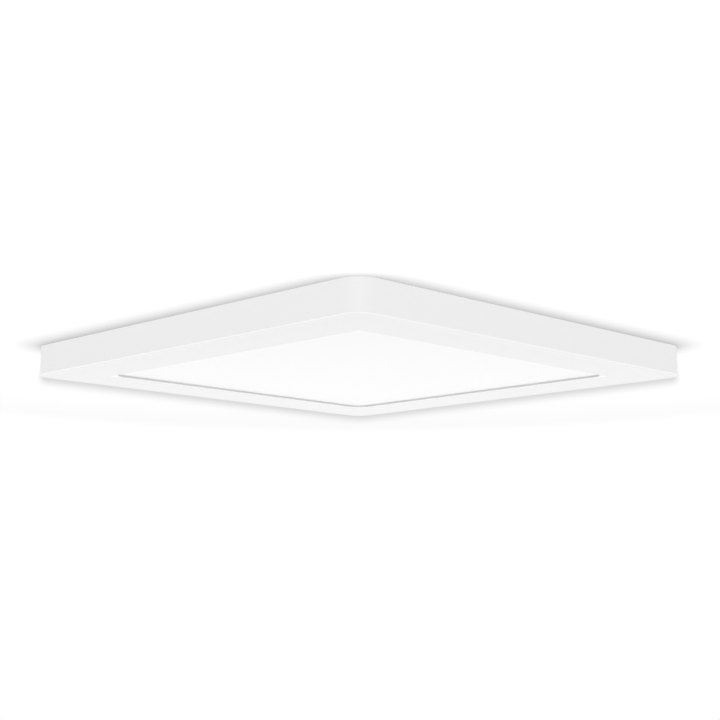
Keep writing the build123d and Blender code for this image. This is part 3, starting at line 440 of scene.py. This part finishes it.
# %% [markdown]
# ## Closer copies of the formed pieces
# CAD edges are perfectly sharp, and nothing real is: mouldings have a small radius and pressed sheet is
# bent round one. The edges could be rounded with a Bevel modifier, or in the mesh itself. Doing it in
# the mesh leaves one plain result to look at and lets each piece choose which edges to round. The
# copy's loose triangles are merged first and flat areas made one face, so that the bevel meets only
# real edges. A bevel makes the same points and faces in each run but may hand the faces their places in
# another order, so they are put in the order of their points and every run gives the same mesh.

# %% Rounding helper
WELD = 1e-6
FLAT = math.radians(0.8)


def put_in_order(shape, made):
    """Fill the places that new faces hold among the rest in the order of the faces' points."""
    shape.verts.index_update()
    shape.faces.index_update()
    places = sorted(face.index for face in made)
    ranked = sorted(made, key=lambda face: sorted(vertex.index for vertex in face.verts))
    for place, face in zip(places, ranked):
        face.index = place
    shape.faces.sort()


def close_copy(node, rounds, smooth=38, reshape=None):
    """Stand for a CAD node with a copy whose edges are rounded. Each round is a radius in millimetres, the
    least and the largest angle of the edges it takes in degrees, and its steps. The copy can be reshaped
    first."""
    shape = bmesh.new()
    shape.from_mesh(nodes[node].data)
    bmesh.ops.remove_doubles(shape, verts=shape.verts, dist=WELD)
    bmesh.ops.dissolve_limit(shape, angle_limit=FLAT, verts=shape.verts, edges=shape.edges)
    if reshape:
        reshape(shape)
    for radius, least, largest, steps in rounds:
        edges = [
            edge
            for edge in shape.edges
            if len(edge.link_faces) == 2 and least < math.degrees(edge.calc_face_angle()) <= largest
        ]
        made = bmesh.ops.bevel(
            shape,
            geom=edges,
            offset=radius * MM,
            segments=steps,
            profile=0.5,
            affect="EDGES",
            clamp_overlap=True,
        )
        put_in_order(shape, made["faces"])
    mesh = bpy.data.meshes.new(node + "_rounded")
    shape.to_mesh(mesh)
    shape.free()
    mesh.shade_smooth()
    mesh.set_sharp_from_angle(angle=math.radians(smooth))
    return shown(even_shading(mesh), node)


EVEN_WEIGHT = 100


def even_shading(mesh):
    """Weigh the shading normals by face area, so that flat faces stay flat beside small rounded edges."""
    carrier = bpy.data.objects.new(mesh.name, mesh)
    bpy.context.scene.collection.objects.link(carrier)
    weigh = carrier.modifiers.new("weigh", "WEIGHTED_NORMAL")
    weigh.keep_sharp, weigh.weight = True, EVEN_WEIGHT
    result = bpy.data.meshes.new_from_object(carrier.evaluated_get(bpy.context.evaluated_depsgraph_get()))
    bpy.data.objects.remove(carrier)
    return result


def shown(mesh, node):
    """Put a finished mesh in the scene in place of a CAD node, riding on the same body. A mesh that brings no
    finish gets the node's."""
    piece = bpy.data.objects.new(node + "_shown", mesh)
    bpy.context.scene.collection.objects.link(piece)
    if not mesh.materials:
        paint(piece, nodes[node].data.materials[0])
    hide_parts(node)
    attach(piece, body_of[node])
    print(piece.name, "has", len(mesh.polygons), "faces")
    return piece


print("helpers for closer copies are ready")

# %% [markdown]
# The photograph shows the corners of the light opening rounder than the model has them. The opening
# could be drawn anew, but its lip, its shadow gap and its rounded edge all turn the same corner, so the
# points that lie on the corner's arcs are moved together and keep their distances from each other.

# %% The frame's opening
OPENING_CORNER = 3.5 * MM
WIDER_BY = 7 * MM
RIM_DEPTH = 1.5 * MM


def rounder_opening(shape):
    """Give the light opening's corners a larger radius. The centre of a corner's arcs moves in towards the
    middle of the light, and each point of the arcs goes with it and out along its own radius."""
    for vertex in shape.verts:
        signs = Vector((math.copysign(1, vertex.co.x), math.copysign(1, vertex.co.y)))
        out = Vector((abs(vertex.co.x), abs(vertex.co.y))) - Vector((1, 1)) * (OPENING - OPENING_CORNER)
        if min(out) > -WELD and OPENING_CORNER - WELD < out.length < OPENING_CORNER + RIM_DEPTH:
            slide = (out.normalized() - Vector((1, 1))) * WIDER_BY
            vertex.co.x += signs.x * slide.x
            vertex.co.y += signs.y * slide.y


SHARP = 180
close_copy("trim_frame", [(0.2, 50, SHARP, 2)], reshape=rounder_opening)

# %% [markdown]
# The pressed cover has two kinds of edge. The bends of its well, beads and pockets meet at small angles
# and get a large radius, the upright corners first and their rims after, and its cut edges get a small
# one. On every other piece one radius does for all the edges, larger on soft rubber than on hard
# plastic.

# %% The other copies
close_copy("diffuser", [(0.2, 50, SHARP, 2)])
close_copy("mounting_bracket", [(0.22, 40, SHARP, 2)])
close_copy(
    "back_cover",
    [(1.05, 30, 38.6, 5), (1.05, 42, 48, 5), (0.5, 38.6, 68, 3), (0.12, 68, SHARP, 2)],
)
for clip_side in ("left", "right"):
    close_copy(f"spring_clip_{clip_side}", [(0.12, 50, SHARP, 2)])
close_copy("terminal_contacts", [(0.1, 50, SHARP, 1)])
moulded_parts = ["terminal_block", "selector_body", "selector_knob", "input_connector", "output_connector"]
moulded_parts += [f"release_button_{number}" for number in (1, 2, 3)]
moulded_parts += ["driver_tray", "film_capacitor", "control_chip", "bridge_rectifier", "ground_screw"]
for node in moulded_parts:
    close_copy(node, [(0.14, 40, SHARP, 2)])
close_copy("grommets", [(0.3, 40, SHARP, 3)])

# %% [markdown]
# ## Screws, rivets and LEDs
# These repeat, so each kind is made once in Geometry Nodes and set on a cloud of points, one point for
# each place. The places are read from the CAD piece itself: its separate shells are found and each
# one's middle is taken. A head is a circle swept up a short line while its radius shrinks, which gives
# the soft shoulder of a cold-headed screw, and a cross is cut out of it.

# %% Where the repeated pieces are
def shells(node):
    """The low and high corners of each separate shell of a CAD node."""
    shape = bmesh.new()
    shape.from_mesh(nodes[node].data)
    bmesh.ops.remove_doubles(shape, verts=shape.verts, dist=WELD)
    left, found = set(shape.verts), []
    while left:
        queue, group = [left.pop()], []
        while queue:
            vertex = queue.pop()
            group.append(vertex.co.copy())
            near = {edge.other_vert(vertex) for edge in vertex.link_edges} & left
            left -= near
            queue.extend(near)
        found.append(tuple(Vector(pick(v[i] for v in group) for i in range(3)) for pick in (min, max)))
    shape.free()
    return sorted(found, key=lambda box: tuple(round(part, 4) for part in box[0]))


print("the cover has", len(shells("cover_screws")), "screws")

# %% [markdown]
# A tree could be made for each screw size, or one tree could take its sizes from outside. Here the
# sizes are the tree's inputs, so one tree makes every screw. The result is kept as a plain mesh,
# because copies that are still instances are lost when the model is exported.

# %% Trees and how they are grown
HEAD_RINGS = 9
SHOULDER = 3.5


def new_tree(name, sizes, wholes=(), materials=("Finish",)):
    """An empty tree with the places in, the copies out, and a named input for each size."""
    tree = bpy.data.node_groups.new(name, "GeometryNodeTree")
    panel = tree.interface
    panel.new_socket("Places", in_out="INPUT", socket_type="NodeSocketGeometry")
    for size in sizes:
        panel.new_socket(size, in_out="INPUT", socket_type="NodeSocketFloat")
    for whole in wholes:
        panel.new_socket(whole, in_out="INPUT", socket_type="NodeSocketInt")
    for material in materials:
        panel.new_socket(material, in_out="INPUT", socket_type="NodeSocketMaterial")
    panel.new_socket("Copies", in_out="OUTPUT", socket_type="NodeSocketGeometry")
    return tree, put(tree, "NodeGroupInput").outputs


def domed(tree, radius, height, crown, sides):
    """A head: a circle swept up from z = 0, its radius falling to a share, crown, of itself at the top."""
    by_direction = {"mode": "DIRECTION"}
    line = put(tree, "GeometryNodeCurvePrimitiveLine", by_direction, Direction=(0, 0, 1), Length=height)
    line = line.outputs["Curve"]
    rings = put(tree, "GeometryNodeResampleCurve", Curve=line, Count=HEAD_RINGS).outputs["Curve"]
    climb = put(tree, "GeometryNodeSplineParameter").outputs["Factor"]
    curved = reckon(tree, "POWER", climb, SHOULDER)
    fall = reckon(tree, "MULTIPLY", curved, reckon(tree, "SUBTRACT", 1, crown))
    grown = reckon(tree, "MULTIPLY", reckon(tree, "SUBTRACT", 1, fall), radius)
    ring = put(tree, "GeometryNodeCurvePrimitiveCircle", Resolution=sides, Radius=1.0).outputs["Curve"]
    swept = put(tree, "GeometryNodeCurveToMesh", Curve=rings, Profile_Curve=ring, Scale=grown, Fill_Caps=True)
    return swept.outputs["Mesh"]


def moved(tree, geometry, x, y, z):
    """The geometry set down at another place."""
    place = put(tree, "ShaderNodeCombineXYZ", X=x, Y=y, Z=z).outputs["Vector"]
    return put(tree, "GeometryNodeTransform", Geometry=geometry, Translation=place).outputs["Geometry"]


def set_out(tree, single, places, material, turn=(0, 0, 0)):
    """Set one copy on every place, make it real and give it its finish."""
    copies = put(tree, "GeometryNodeInstanceOnPoints", Points=places, Instance=single, Rotation=turn)
    real = put(tree, "GeometryNodeRealizeInstances", Geometry=copies.outputs["Instances"]).outputs["Geometry"]
    return put(tree, "GeometryNodeSetMaterial", Geometry=real, Material=material).outputs["Geometry"]


def grow(node, places, tree, smooth=40, **sizes):
    """Run a tree on the places and keep its result as a plain mesh in place of the CAD node."""
    points = bpy.data.meshes.new(node + "_places")
    points.from_pydata([tuple(place) for place in places], [], [])
    seed = bpy.data.objects.new(node + "_places", points)
    bpy.context.scene.collection.objects.link(seed)
    modifier = seed.modifiers.new(tree.name, "NODES")
    modifier.node_group = tree
    for item in tree.interface.items_tree:
        if item.item_type == "SOCKET" and item.in_out == "INPUT" and item.name in sizes:
            modifier[item.identifier] = sizes[item.name]
    seen = seed.evaluated_get(bpy.context.evaluated_depsgraph_get())
    mesh = bpy.data.meshes.new_from_object(seen)
    seed.modifiers.clear()
    bpy.data.objects.remove(seed)
    mesh.shade_smooth()
    mesh.set_sharp_from_angle(angle=math.radians(smooth))
    return shown(mesh, node)


print("helpers for trees are ready")

# %% [markdown]
# The screw's tree has a head, a cross of two bars cut out of it, and a shank. Screws stop turning where
# they get tight, so each copy is turned by its own amount, drawn with a fixed seed.

# %% The screw tree
SHANK_SIDES = 16
TURN_SEED = 11
screw_tree, ask = new_tree(
    "recessed screw",
    ("Head Radius", "Head Height", "Crown", "Shank Radius", "Shank Length", "Recess Length", "Recess Width"),
    ("Sides",),
)
head = domed(screw_tree, ask["Head Radius"], ask["Head Height"], ask["Crown"], ask["Sides"])
cutters = []
for x, y in (("Recess Length", "Recess Width"), ("Recess Width", "Recess Length")):
    size = put(screw_tree, "ShaderNodeCombineXYZ", X=ask[x], Y=ask[y], Z=ask["Head Height"])
    bar = put(screw_tree, "GeometryNodeMeshCube", Size=size.outputs["Vector"]).outputs["Mesh"]
    cutters.append(moved(screw_tree, bar, 0, 0, ask["Head Height"]))
cut = put(screw_tree, "GeometryNodeMeshBoolean", {"operation": "DIFFERENCE", "solver": "EXACT"})
screw_tree.links.new(head, cut.inputs["Mesh 1"])
for cutter in cutters:
    screw_tree.links.new(cutter, cut.inputs["Mesh 2"])
shank = put(
    screw_tree,
    "GeometryNodeMeshCylinder",
    Vertices=SHANK_SIDES,
    Radius=ask["Shank Radius"],
    Depth=ask["Shank Length"],
).outputs["Mesh"]
half_down = reckon(screw_tree, "MULTIPLY", ask["Shank Length"], -0.5)
joined = put(screw_tree, "GeometryNodeJoinGeometry")
for part in (cut.outputs["Mesh"], moved(screw_tree, shank, 0, 0, half_down)):
    screw_tree.links.new(part, joined.inputs["Geometry"])
stopped = put(
    screw_tree,
    "FunctionNodeRandomValue",
    {"data_type": "FLOAT_VECTOR"},
    _0=(0, 0, 0),
    _1=(0, 0, math.pi / 2),
    Seed=TURN_SEED,
).outputs[0]
ready = set_out(screw_tree, joined.outputs["Geometry"], ask["Places"], ask["Finish"], stopped)
put(screw_tree, "NodeGroupOutput", Copies=ready)
print("the screw tree has", len(screw_tree.nodes), "nodes")

# %% [markdown]
# Sizes could be typed for each screw. Most are read from the CAD screw instead, so that the head fills
# its dimple and the shank its hole, and only what a CAD screw doesn't show is given: the head's height
# and its recess.

# %% Set the screws
HEAD_CROWN, HEAD_SIDES = 0.62, 32
SHANK_SHARE = 0.48


def screws(node, head_height, recess):
    """Screws in place of a CAD node's, points down. The head's height and the two sides of each bar of its
    cross recess are in millimetres."""
    boxes = shells(node)
    low, high = boxes[0]
    seat = high.z - head_height * MM
    radius = (high.x - low.x) / 2
    places = [((a.x + b.x) / 2, (a.y + b.y) / 2, seat) for a, b in boxes]
    length, width = recess
    return grow(
        node,
        places,
        screw_tree,
        **{
            "Head Radius": radius,
            "Head Height": head_height * MM,
            "Crown": HEAD_CROWN,
            "Shank Radius": radius * SHANK_SHARE,
            "Shank Length": seat - low.z,
            "Recess Length": length * MM,
            "Recess Width": width * MM,
            "Sides": HEAD_SIDES,
            "Finish": looks[slot_of[node]],
        },
    )


screws("cover_screws", 1.5, (3.4, 0.7))
screws("driver_screws", 1.5, (3.4, 0.7))
screws("rail_screws", 1.3, (2.4, 0.55))

# %% [markdown]
# A rivet's head is the same swept shape with a lower crown and no recess, so its tree is shorter.

# %% The rivet tree
RIVET_HEAD, RIVET_SHANK = 0.9 * MM, 1.2 * MM
RIVET_CROWN, RIVET_SIDES = 0.25, 24
rivet_tree, ask = new_tree("domed rivet", ("Head Radius", "Head Height", "Shank Radius", "Shank Length"))
dome = domed(rivet_tree, ask["Head Radius"], ask["Head Height"], RIVET_CROWN, RIVET_SIDES)
pin = put(
    rivet_tree,
    "GeometryNodeMeshCylinder",
    Vertices=SHANK_SIDES,
    Radius=ask["Shank Radius"],
    Depth=ask["Shank Length"],
).outputs["Mesh"]
half_down = reckon(rivet_tree, "MULTIPLY", ask["Shank Length"], -0.5)
joined = put(rivet_tree, "GeometryNodeJoinGeometry")
for part in (dome, moved(rivet_tree, pin, 0, 0, half_down)):
    rivet_tree.links.new(part, joined.inputs["Geometry"])
ready = set_out(rivet_tree, joined.outputs["Geometry"], ask["Places"], ask["Finish"])
put(rivet_tree, "NodeGroupOutput", Copies=ready)

rivet_boxes = shells("rivets")
low, high = rivet_boxes[0]
grow(
    "rivets",
    [((a.x + b.x) / 2, (a.y + b.y) / 2, high.z - RIVET_HEAD) for a, b in rivet_boxes],
    rivet_tree,
    **{
        "Head Radius": (high.x - low.x) / 2,
        "Head Height": RIVET_HEAD,
        "Shank Radius": RIVET_SHANK,
        "Shank Length": high.z - RIVET_HEAD - low.z,
        "Finish": looks["zinc_steel"],
    },
)

# %% [markdown]
# An LED is a white package with a round pool of yellow phosphor on the face that looks into the light
# guide. The tree marks the pool before the copies are set out, so that after they are made real the
# pool can be given its own finish.

# %% The LED tree
POOL_RISE = 0.06 * MM
POOL_SHARE, POOL_SIDES = 0.42, 24
led_tree, ask = new_tree(
    "packaged LED",
    ("Width", "Height", "Depth", "Pool Radius", "Pool Rise", "Turn"),
    materials=("Finish", "Pool Finish"),
)
size = put(led_tree, "ShaderNodeCombineXYZ", X=ask["Width"], Y=ask["Depth"], Z=ask["Height"])
case = put(led_tree, "GeometryNodeMeshCube", Size=size.outputs["Vector"]).outputs["Mesh"]
pool = put(
    led_tree,
    "GeometryNodeMeshCylinder",
    Vertices=POOL_SIDES,
    Radius=ask["Pool Radius"],
    Depth=ask["Pool Rise"],
).outputs["Mesh"]
tipped = put(led_tree, "GeometryNodeTransform", Geometry=pool, Rotation=(math.pi / 2, 0, 0))
tipped = tipped.outputs["Geometry"]
front = reckon(led_tree, "MULTIPLY", reckon(led_tree, "ADD", ask["Depth"], ask["Pool Rise"]), 0.5)
marked = put(
    led_tree,
    "GeometryNodeStoreNamedAttribute",
    {"data_type": "BOOLEAN", "domain": "FACE"},
    Geometry=moved(led_tree, tipped, 0, front, 0),
    Name="pool",
    Value=True,
).outputs["Geometry"]
joined = put(led_tree, "GeometryNodeJoinGeometry")
for part in (marked, case):
    led_tree.links.new(part, joined.inputs["Geometry"])
turned = put(led_tree, "ShaderNodeCombineXYZ", Z=ask["Turn"]).outputs["Vector"]
ready = set_out(led_tree, joined.outputs["Geometry"], ask["Places"], ask["Finish"], turned)
is_pool = put(led_tree, "GeometryNodeInputNamedAttribute", {"data_type": "BOOLEAN"}, Name="pool")
ready = put(
    led_tree,
    "GeometryNodeSetMaterial",
    Geometry=ready,
    Selection=is_pool.outputs["Attribute"],
    Material=ask["Pool Finish"],
).outputs["Geometry"]
put(led_tree, "NodeGroupOutput", Copies=ready)
print("the LED tree has", len(led_tree.nodes), "nodes")

# %% [markdown]
# Each side of the light has its row of LEDs, all facing inward. The row's own boxes give the sizes, and
# a quarter turn for each side points the pools into the light guide.

# %% Set the LEDs
for turn, led_side in enumerate(("front", "right", "back", "left")):
    boxes = shells(f"led_packages_{led_side}")
    low, high = boxes[0]
    along, through = ("x", "y") if turn % 2 == 0 else ("y", "x")
    depth = getattr(high - low, through) - POOL_RISE
    inward = Vector((-math.sin(turn * math.pi / 2), math.cos(turn * math.pi / 2), 0))
    grow(
        f"led_packages_{led_side}",
        [(a + b) / 2 - inward * POOL_RISE / 2 for a, b in boxes],
        led_tree,
        **{
            "Width": getattr(high - low, along),
            "Height": high.z - low.z,
            "Depth": depth,
            "Pool Radius": POOL_SHARE * (high.z - low.z),
            "Pool Rise": POOL_RISE,
            "Turn": turn * math.pi / 2,
            "Finish": looks["phosphor"],
            "Pool Finish": phosphor_fill,
        },
    )

# %% [markdown]
# ## Camera
# The picture was taken from below, corner on. The near and far corners lie on one upright line, so the
# camera stands at 45 degrees to the sides, and how much the square is squeezed gives its height: 10
# degrees below the ceiling. How much the far half is smaller than the near half gives its distance.

# %% Place the camera
ROUND, BELOW, AWAY = math.radians(45.0), math.radians(10.0), 0.9115
LENS, SENSOR = 68.6, 36.0
NEAR_CLIP, FAR_CLIP = 0.01, 40.0
YAW, PITCH = math.radians(0.043), math.radians(-0.526)
level = math.cos(BELOW)
eye = AWAY * Vector((math.sin(ROUND) * level, -math.cos(ROUND) * level, -math.sin(BELOW)))
forward = (-eye).normalized()
right = forward.cross(Vector((0, 0, 1))).normalized()
up = right.cross(forward)
look = (forward + math.tan(YAW) * right + math.tan(PITCH) * up).normalized()
lens = bpy.data.cameras.new("camera")
lens.lens, lens.sensor_width = LENS, SENSOR
lens.clip_start, lens.clip_end = NEAR_CLIP, FAR_CLIP
camera = bpy.data.objects.new("camera", lens)
camera.location = eye
camera.rotation_euler = look.to_track_quat("-Z", "Y").to_euler()
bpy.context.scene.collection.objects.link(camera)
bpy.context.scene.camera = camera
bpy.context.scene.view_settings.view_transform = "Standard"
print("camera at", [round(part, 4) for part in eye])

# %% [markdown]
# ## The stage
# The photograph's ground is pure white, and close round the light it darkens softly, as a ceiling does
# beside something that shades it. A ceiling sheet a hair above the light shows that. It gives off most
# of its white by itself, takes the rest from a small flash that lights nothing else and so throws the
# light's own soft shadow behind it, and is darker where ambient occlusion finds the light near by. Only
# the camera sees it, and only from below, so that it doesn't block the lamps or the view of the back. A
# pale floor shows in the views from above. It fades to pure white far out, where its edge would show,
# and is pure white in reflections.

# %% The ceiling
CEILING, CEILING_REACH = 0.00005, 8
CONTACT, CORNER_OPEN, CONTACT_SHADE = 0.032, 0.5, 0.52
OWN_WHITE = 0.62
FLASH_SHARE = 0.1
FLASH_REACH = 0.45


def sheet_of(name, reach, height, up):
    """A square sheet facing up or down."""
    mesh = bpy.data.meshes.new(name)
    corners = [(x * reach, y * reach, height) for x, y in ((-1, -1), (1, -1), (1, 1), (-1, 1))]
    mesh.from_pydata(corners, [], [(0, 1, 2, 3) if up else (3, 2, 1, 0)])
    piece = bpy.data.objects.new(name, mesh)
    bpy.context.scene.collection.objects.link(piece)
    piece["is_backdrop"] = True
    return piece


def stage_paint(name):
    """An empty material for the stage, and its tree."""
    made = bpy.data.materials.new(name)
    made.use_nodes = True
    made.node_tree.nodes.clear()
    return made, made.node_tree


ceiling = sheet_of("ceiling", CEILING_REACH, CEILING, up=False)
lit_paint, tree = stage_paint("lit ceiling")
# Painted shade: the ceiling's glow and its matt colour are both lowered where ambient occlusion finds the
# light near by.
nearness = put(tree, "ShaderNodeAmbientOcclusion", {"samples": 24}, Distance=CONTACT).outputs["AO"]
shade = put(
    tree,
    "ShaderNodeMapRange",
    Value=nearness,
    From_Min=CORNER_OPEN,
    To_Min=CONTACT_SHADE,
    To_Max=1.0,
).outputs["Result"]
own = put(tree, "ShaderNodeTexCoord").outputs["Object"]
out = put(tree, "ShaderNodeVectorMath", {"operation": "LENGTH"}, _0=own).outputs["Value"]
own_light = put(
    tree,
    "ShaderNodeMapRange",
    Value=out,
    From_Min=FLASH_REACH,
    From_Max=2 * FLASH_REACH,
    To_Min=OWN_WHITE,
    To_Max=1.0,
).outputs["Result"]
own_light = reckon(tree, "MULTIPLY", shade, own_light)
glow = put(tree, "ShaderNodeEmission", Color=(1, 1, 1, 1), Strength=own_light).outputs["Emission"]
tint = reckon(tree, "MULTIPLY", shade, FLASH_SHARE)
matt = put(tree, "ShaderNodeBsdfDiffuse", Color=tint).outputs["BSDF"]
light = put(tree, "ShaderNodeAddShader", _0=glow, _1=matt).outputs["Shader"]
away = put(tree, "ShaderNodeNewGeometry").outputs["Backfacing"]
clear = put(tree, "ShaderNodeBsdfTransparent").outputs["BSDF"]
both = put(tree, "ShaderNodeMixShader", _0=away, _1=light, _2=clear).outputs["Shader"]
put(tree, "ShaderNodeOutputMaterial", Surface=both)
paint(ceiling, lit_paint)
for kind in ("diffuse", "glossy", "transmission", "shadow", "volume_scatter"):
    setattr(ceiling, "visible_" + kind, False)
print("the ceiling is", round(2 * CEILING_REACH), "metres across")

# %% [markdown]
# The floor could end at the picture's edge, but other views would show where it stops. It fades into
# pure white long before that.

# %% The floor
FLOOR, FLOOR_REACH = -0.9, 5
FLOOR_WHITE = (0.88, 0.88, 0.88, 1)
FADE_START, FADE_END = 0.9, 3.0
floor = sheet_of("floor", FLOOR_REACH, FLOOR, up=True)
pale_paint, tree = stage_paint("pale floor")
own = put(tree, "ShaderNodeTexCoord").outputs["Object"]
flat = put(tree, "ShaderNodeVectorMath", {"operation": "MULTIPLY"}, _0=own, _1=(1, 1, 0)).outputs["Vector"]
far = put(tree, "ShaderNodeVectorMath", {"operation": "LENGTH"}, _0=flat).outputs["Value"]
fade = put(
    tree,
    "ShaderNodeMapRange",
    {"interpolation_type": "SMOOTHSTEP"},
    Value=far,
    From_Min=FADE_START,
    From_Max=FADE_END,
).outputs["Result"]
matt = put(tree, "ShaderNodeBsdfDiffuse", Color=FLOOR_WHITE).outputs["BSDF"]
white = put(tree, "ShaderNodeEmission", Color=(1, 1, 1, 1), Strength=1.0).outputs["Emission"]
mirrored = put(tree, "ShaderNodeLightPath").outputs["Is Glossy Ray"]
bright = reckon(tree, "MAXIMUM", fade, mirrored)
mixed = put(tree, "ShaderNodeMixShader", _0=bright, _1=matt, _2=white).outputs["Shader"]
put(tree, "ShaderNodeOutputMaterial", Surface=mixed)
paint(floor, pale_paint)
print("the floor lies", -FLOOR, "metres below the ceiling")

# %% [markdown]
# ## Light
# Product light is soft and comes from all round. The world gives an even white for reflections and a
# slightly lower even light on the surfaces. Two lamps stand low above the ceiling plane, before and
# behind the light, so that their slanting light brings out the pressed forms of the back. Two small
# ones below light the frame's underside and its rounded lower edge. The flash stands just over the
# camera and is linked to the ceiling alone. No lamp shows itself.

# %% The world
AMBIENT = 0.905
world = bpy.data.worlds.new("studio")
bpy.context.scene.world = world
world.use_nodes = True
tree = world.node_tree
tree.nodes.clear()
ray = put(tree, "ShaderNodeLightPath").outputs
seen = reckon(tree, "MAXIMUM", ray["Is Camera Ray"], ray["Is Glossy Ray"])
seen = reckon(tree, "MAXIMUM", seen, ray["Is Transmission Ray"])
strength = between(tree, seen, AMBIENT, 1.0)
sky = put(tree, "ShaderNodeBackground", Color=(1, 1, 1, 1), Strength=strength).outputs["Background"]
put(tree, "ShaderNodeOutputWorld", Surface=sky)
print("the world is white to the eye and", AMBIENT, "on surfaces")

# %% The lamps


def lamp(name, place, width, power):
    """A soft square lamp that looks at the middle of the light's top."""
    light = bpy.data.lights.new(name, "AREA")
    light.shape = "RECTANGLE"
    light.size = light.size_y = width
    light.energy = power
    made = bpy.data.objects.new(name, light)
    made.location = place
    made.rotation_euler = (-Vector(place)).to_track_quat("-Z", "Y").to_euler()
    made.visible_camera = made.visible_glossy = False
    bpy.context.scene.collection.objects.link(made)
    return made


lamp("lamp before", (1.0, -1.0, 0.8), 0.8, 2.8)
lamp("lamp behind", (-0.8, 0.8, 1.1), 0.5, 1.8)
lamp("lamp below left", (-0.36, -0.01, -0.70), 0.3, 0.56)
lamp("lamp below right", (0.01, 0.36, -0.70), 0.3, 0.56)

# %% The flash
FLASH_RAISE = 0.026
FLASH_POWER, FLASH_SIZE = 960, 0.02
flash = bpy.data.lights.new("flash", "POINT")
flash.energy, flash.shadow_soft_size = FLASH_POWER, FLASH_SIZE
flash.use_nodes = True
tree = flash.node_tree
tree.nodes.clear()
even = put(tree, "ShaderNodeLightFalloff", Strength=1.0).outputs["Constant"]
beam = put(tree, "ShaderNodeEmission", Strength=even).outputs["Emission"]
put(tree, "ShaderNodeOutputLight", Surface=beam)
holder = bpy.data.objects.new("flash", flash)
holder.location = eye + Vector((0, 0, FLASH_RAISE))
holder.visible_camera = holder.visible_glossy = False
bpy.context.scene.collection.objects.link(holder)
lit = bpy.data.collections.new("lit by the flash")
lit.objects.link(ceiling)
holder.light_linking.receiver_collection = lit

# %% [markdown]
# ## The box round the model
# The dressed model must stay as large as the CAD model, so the box round all shown pieces, the stage
# left out, is measured last.

# %% Sizes and the last line
low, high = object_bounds()
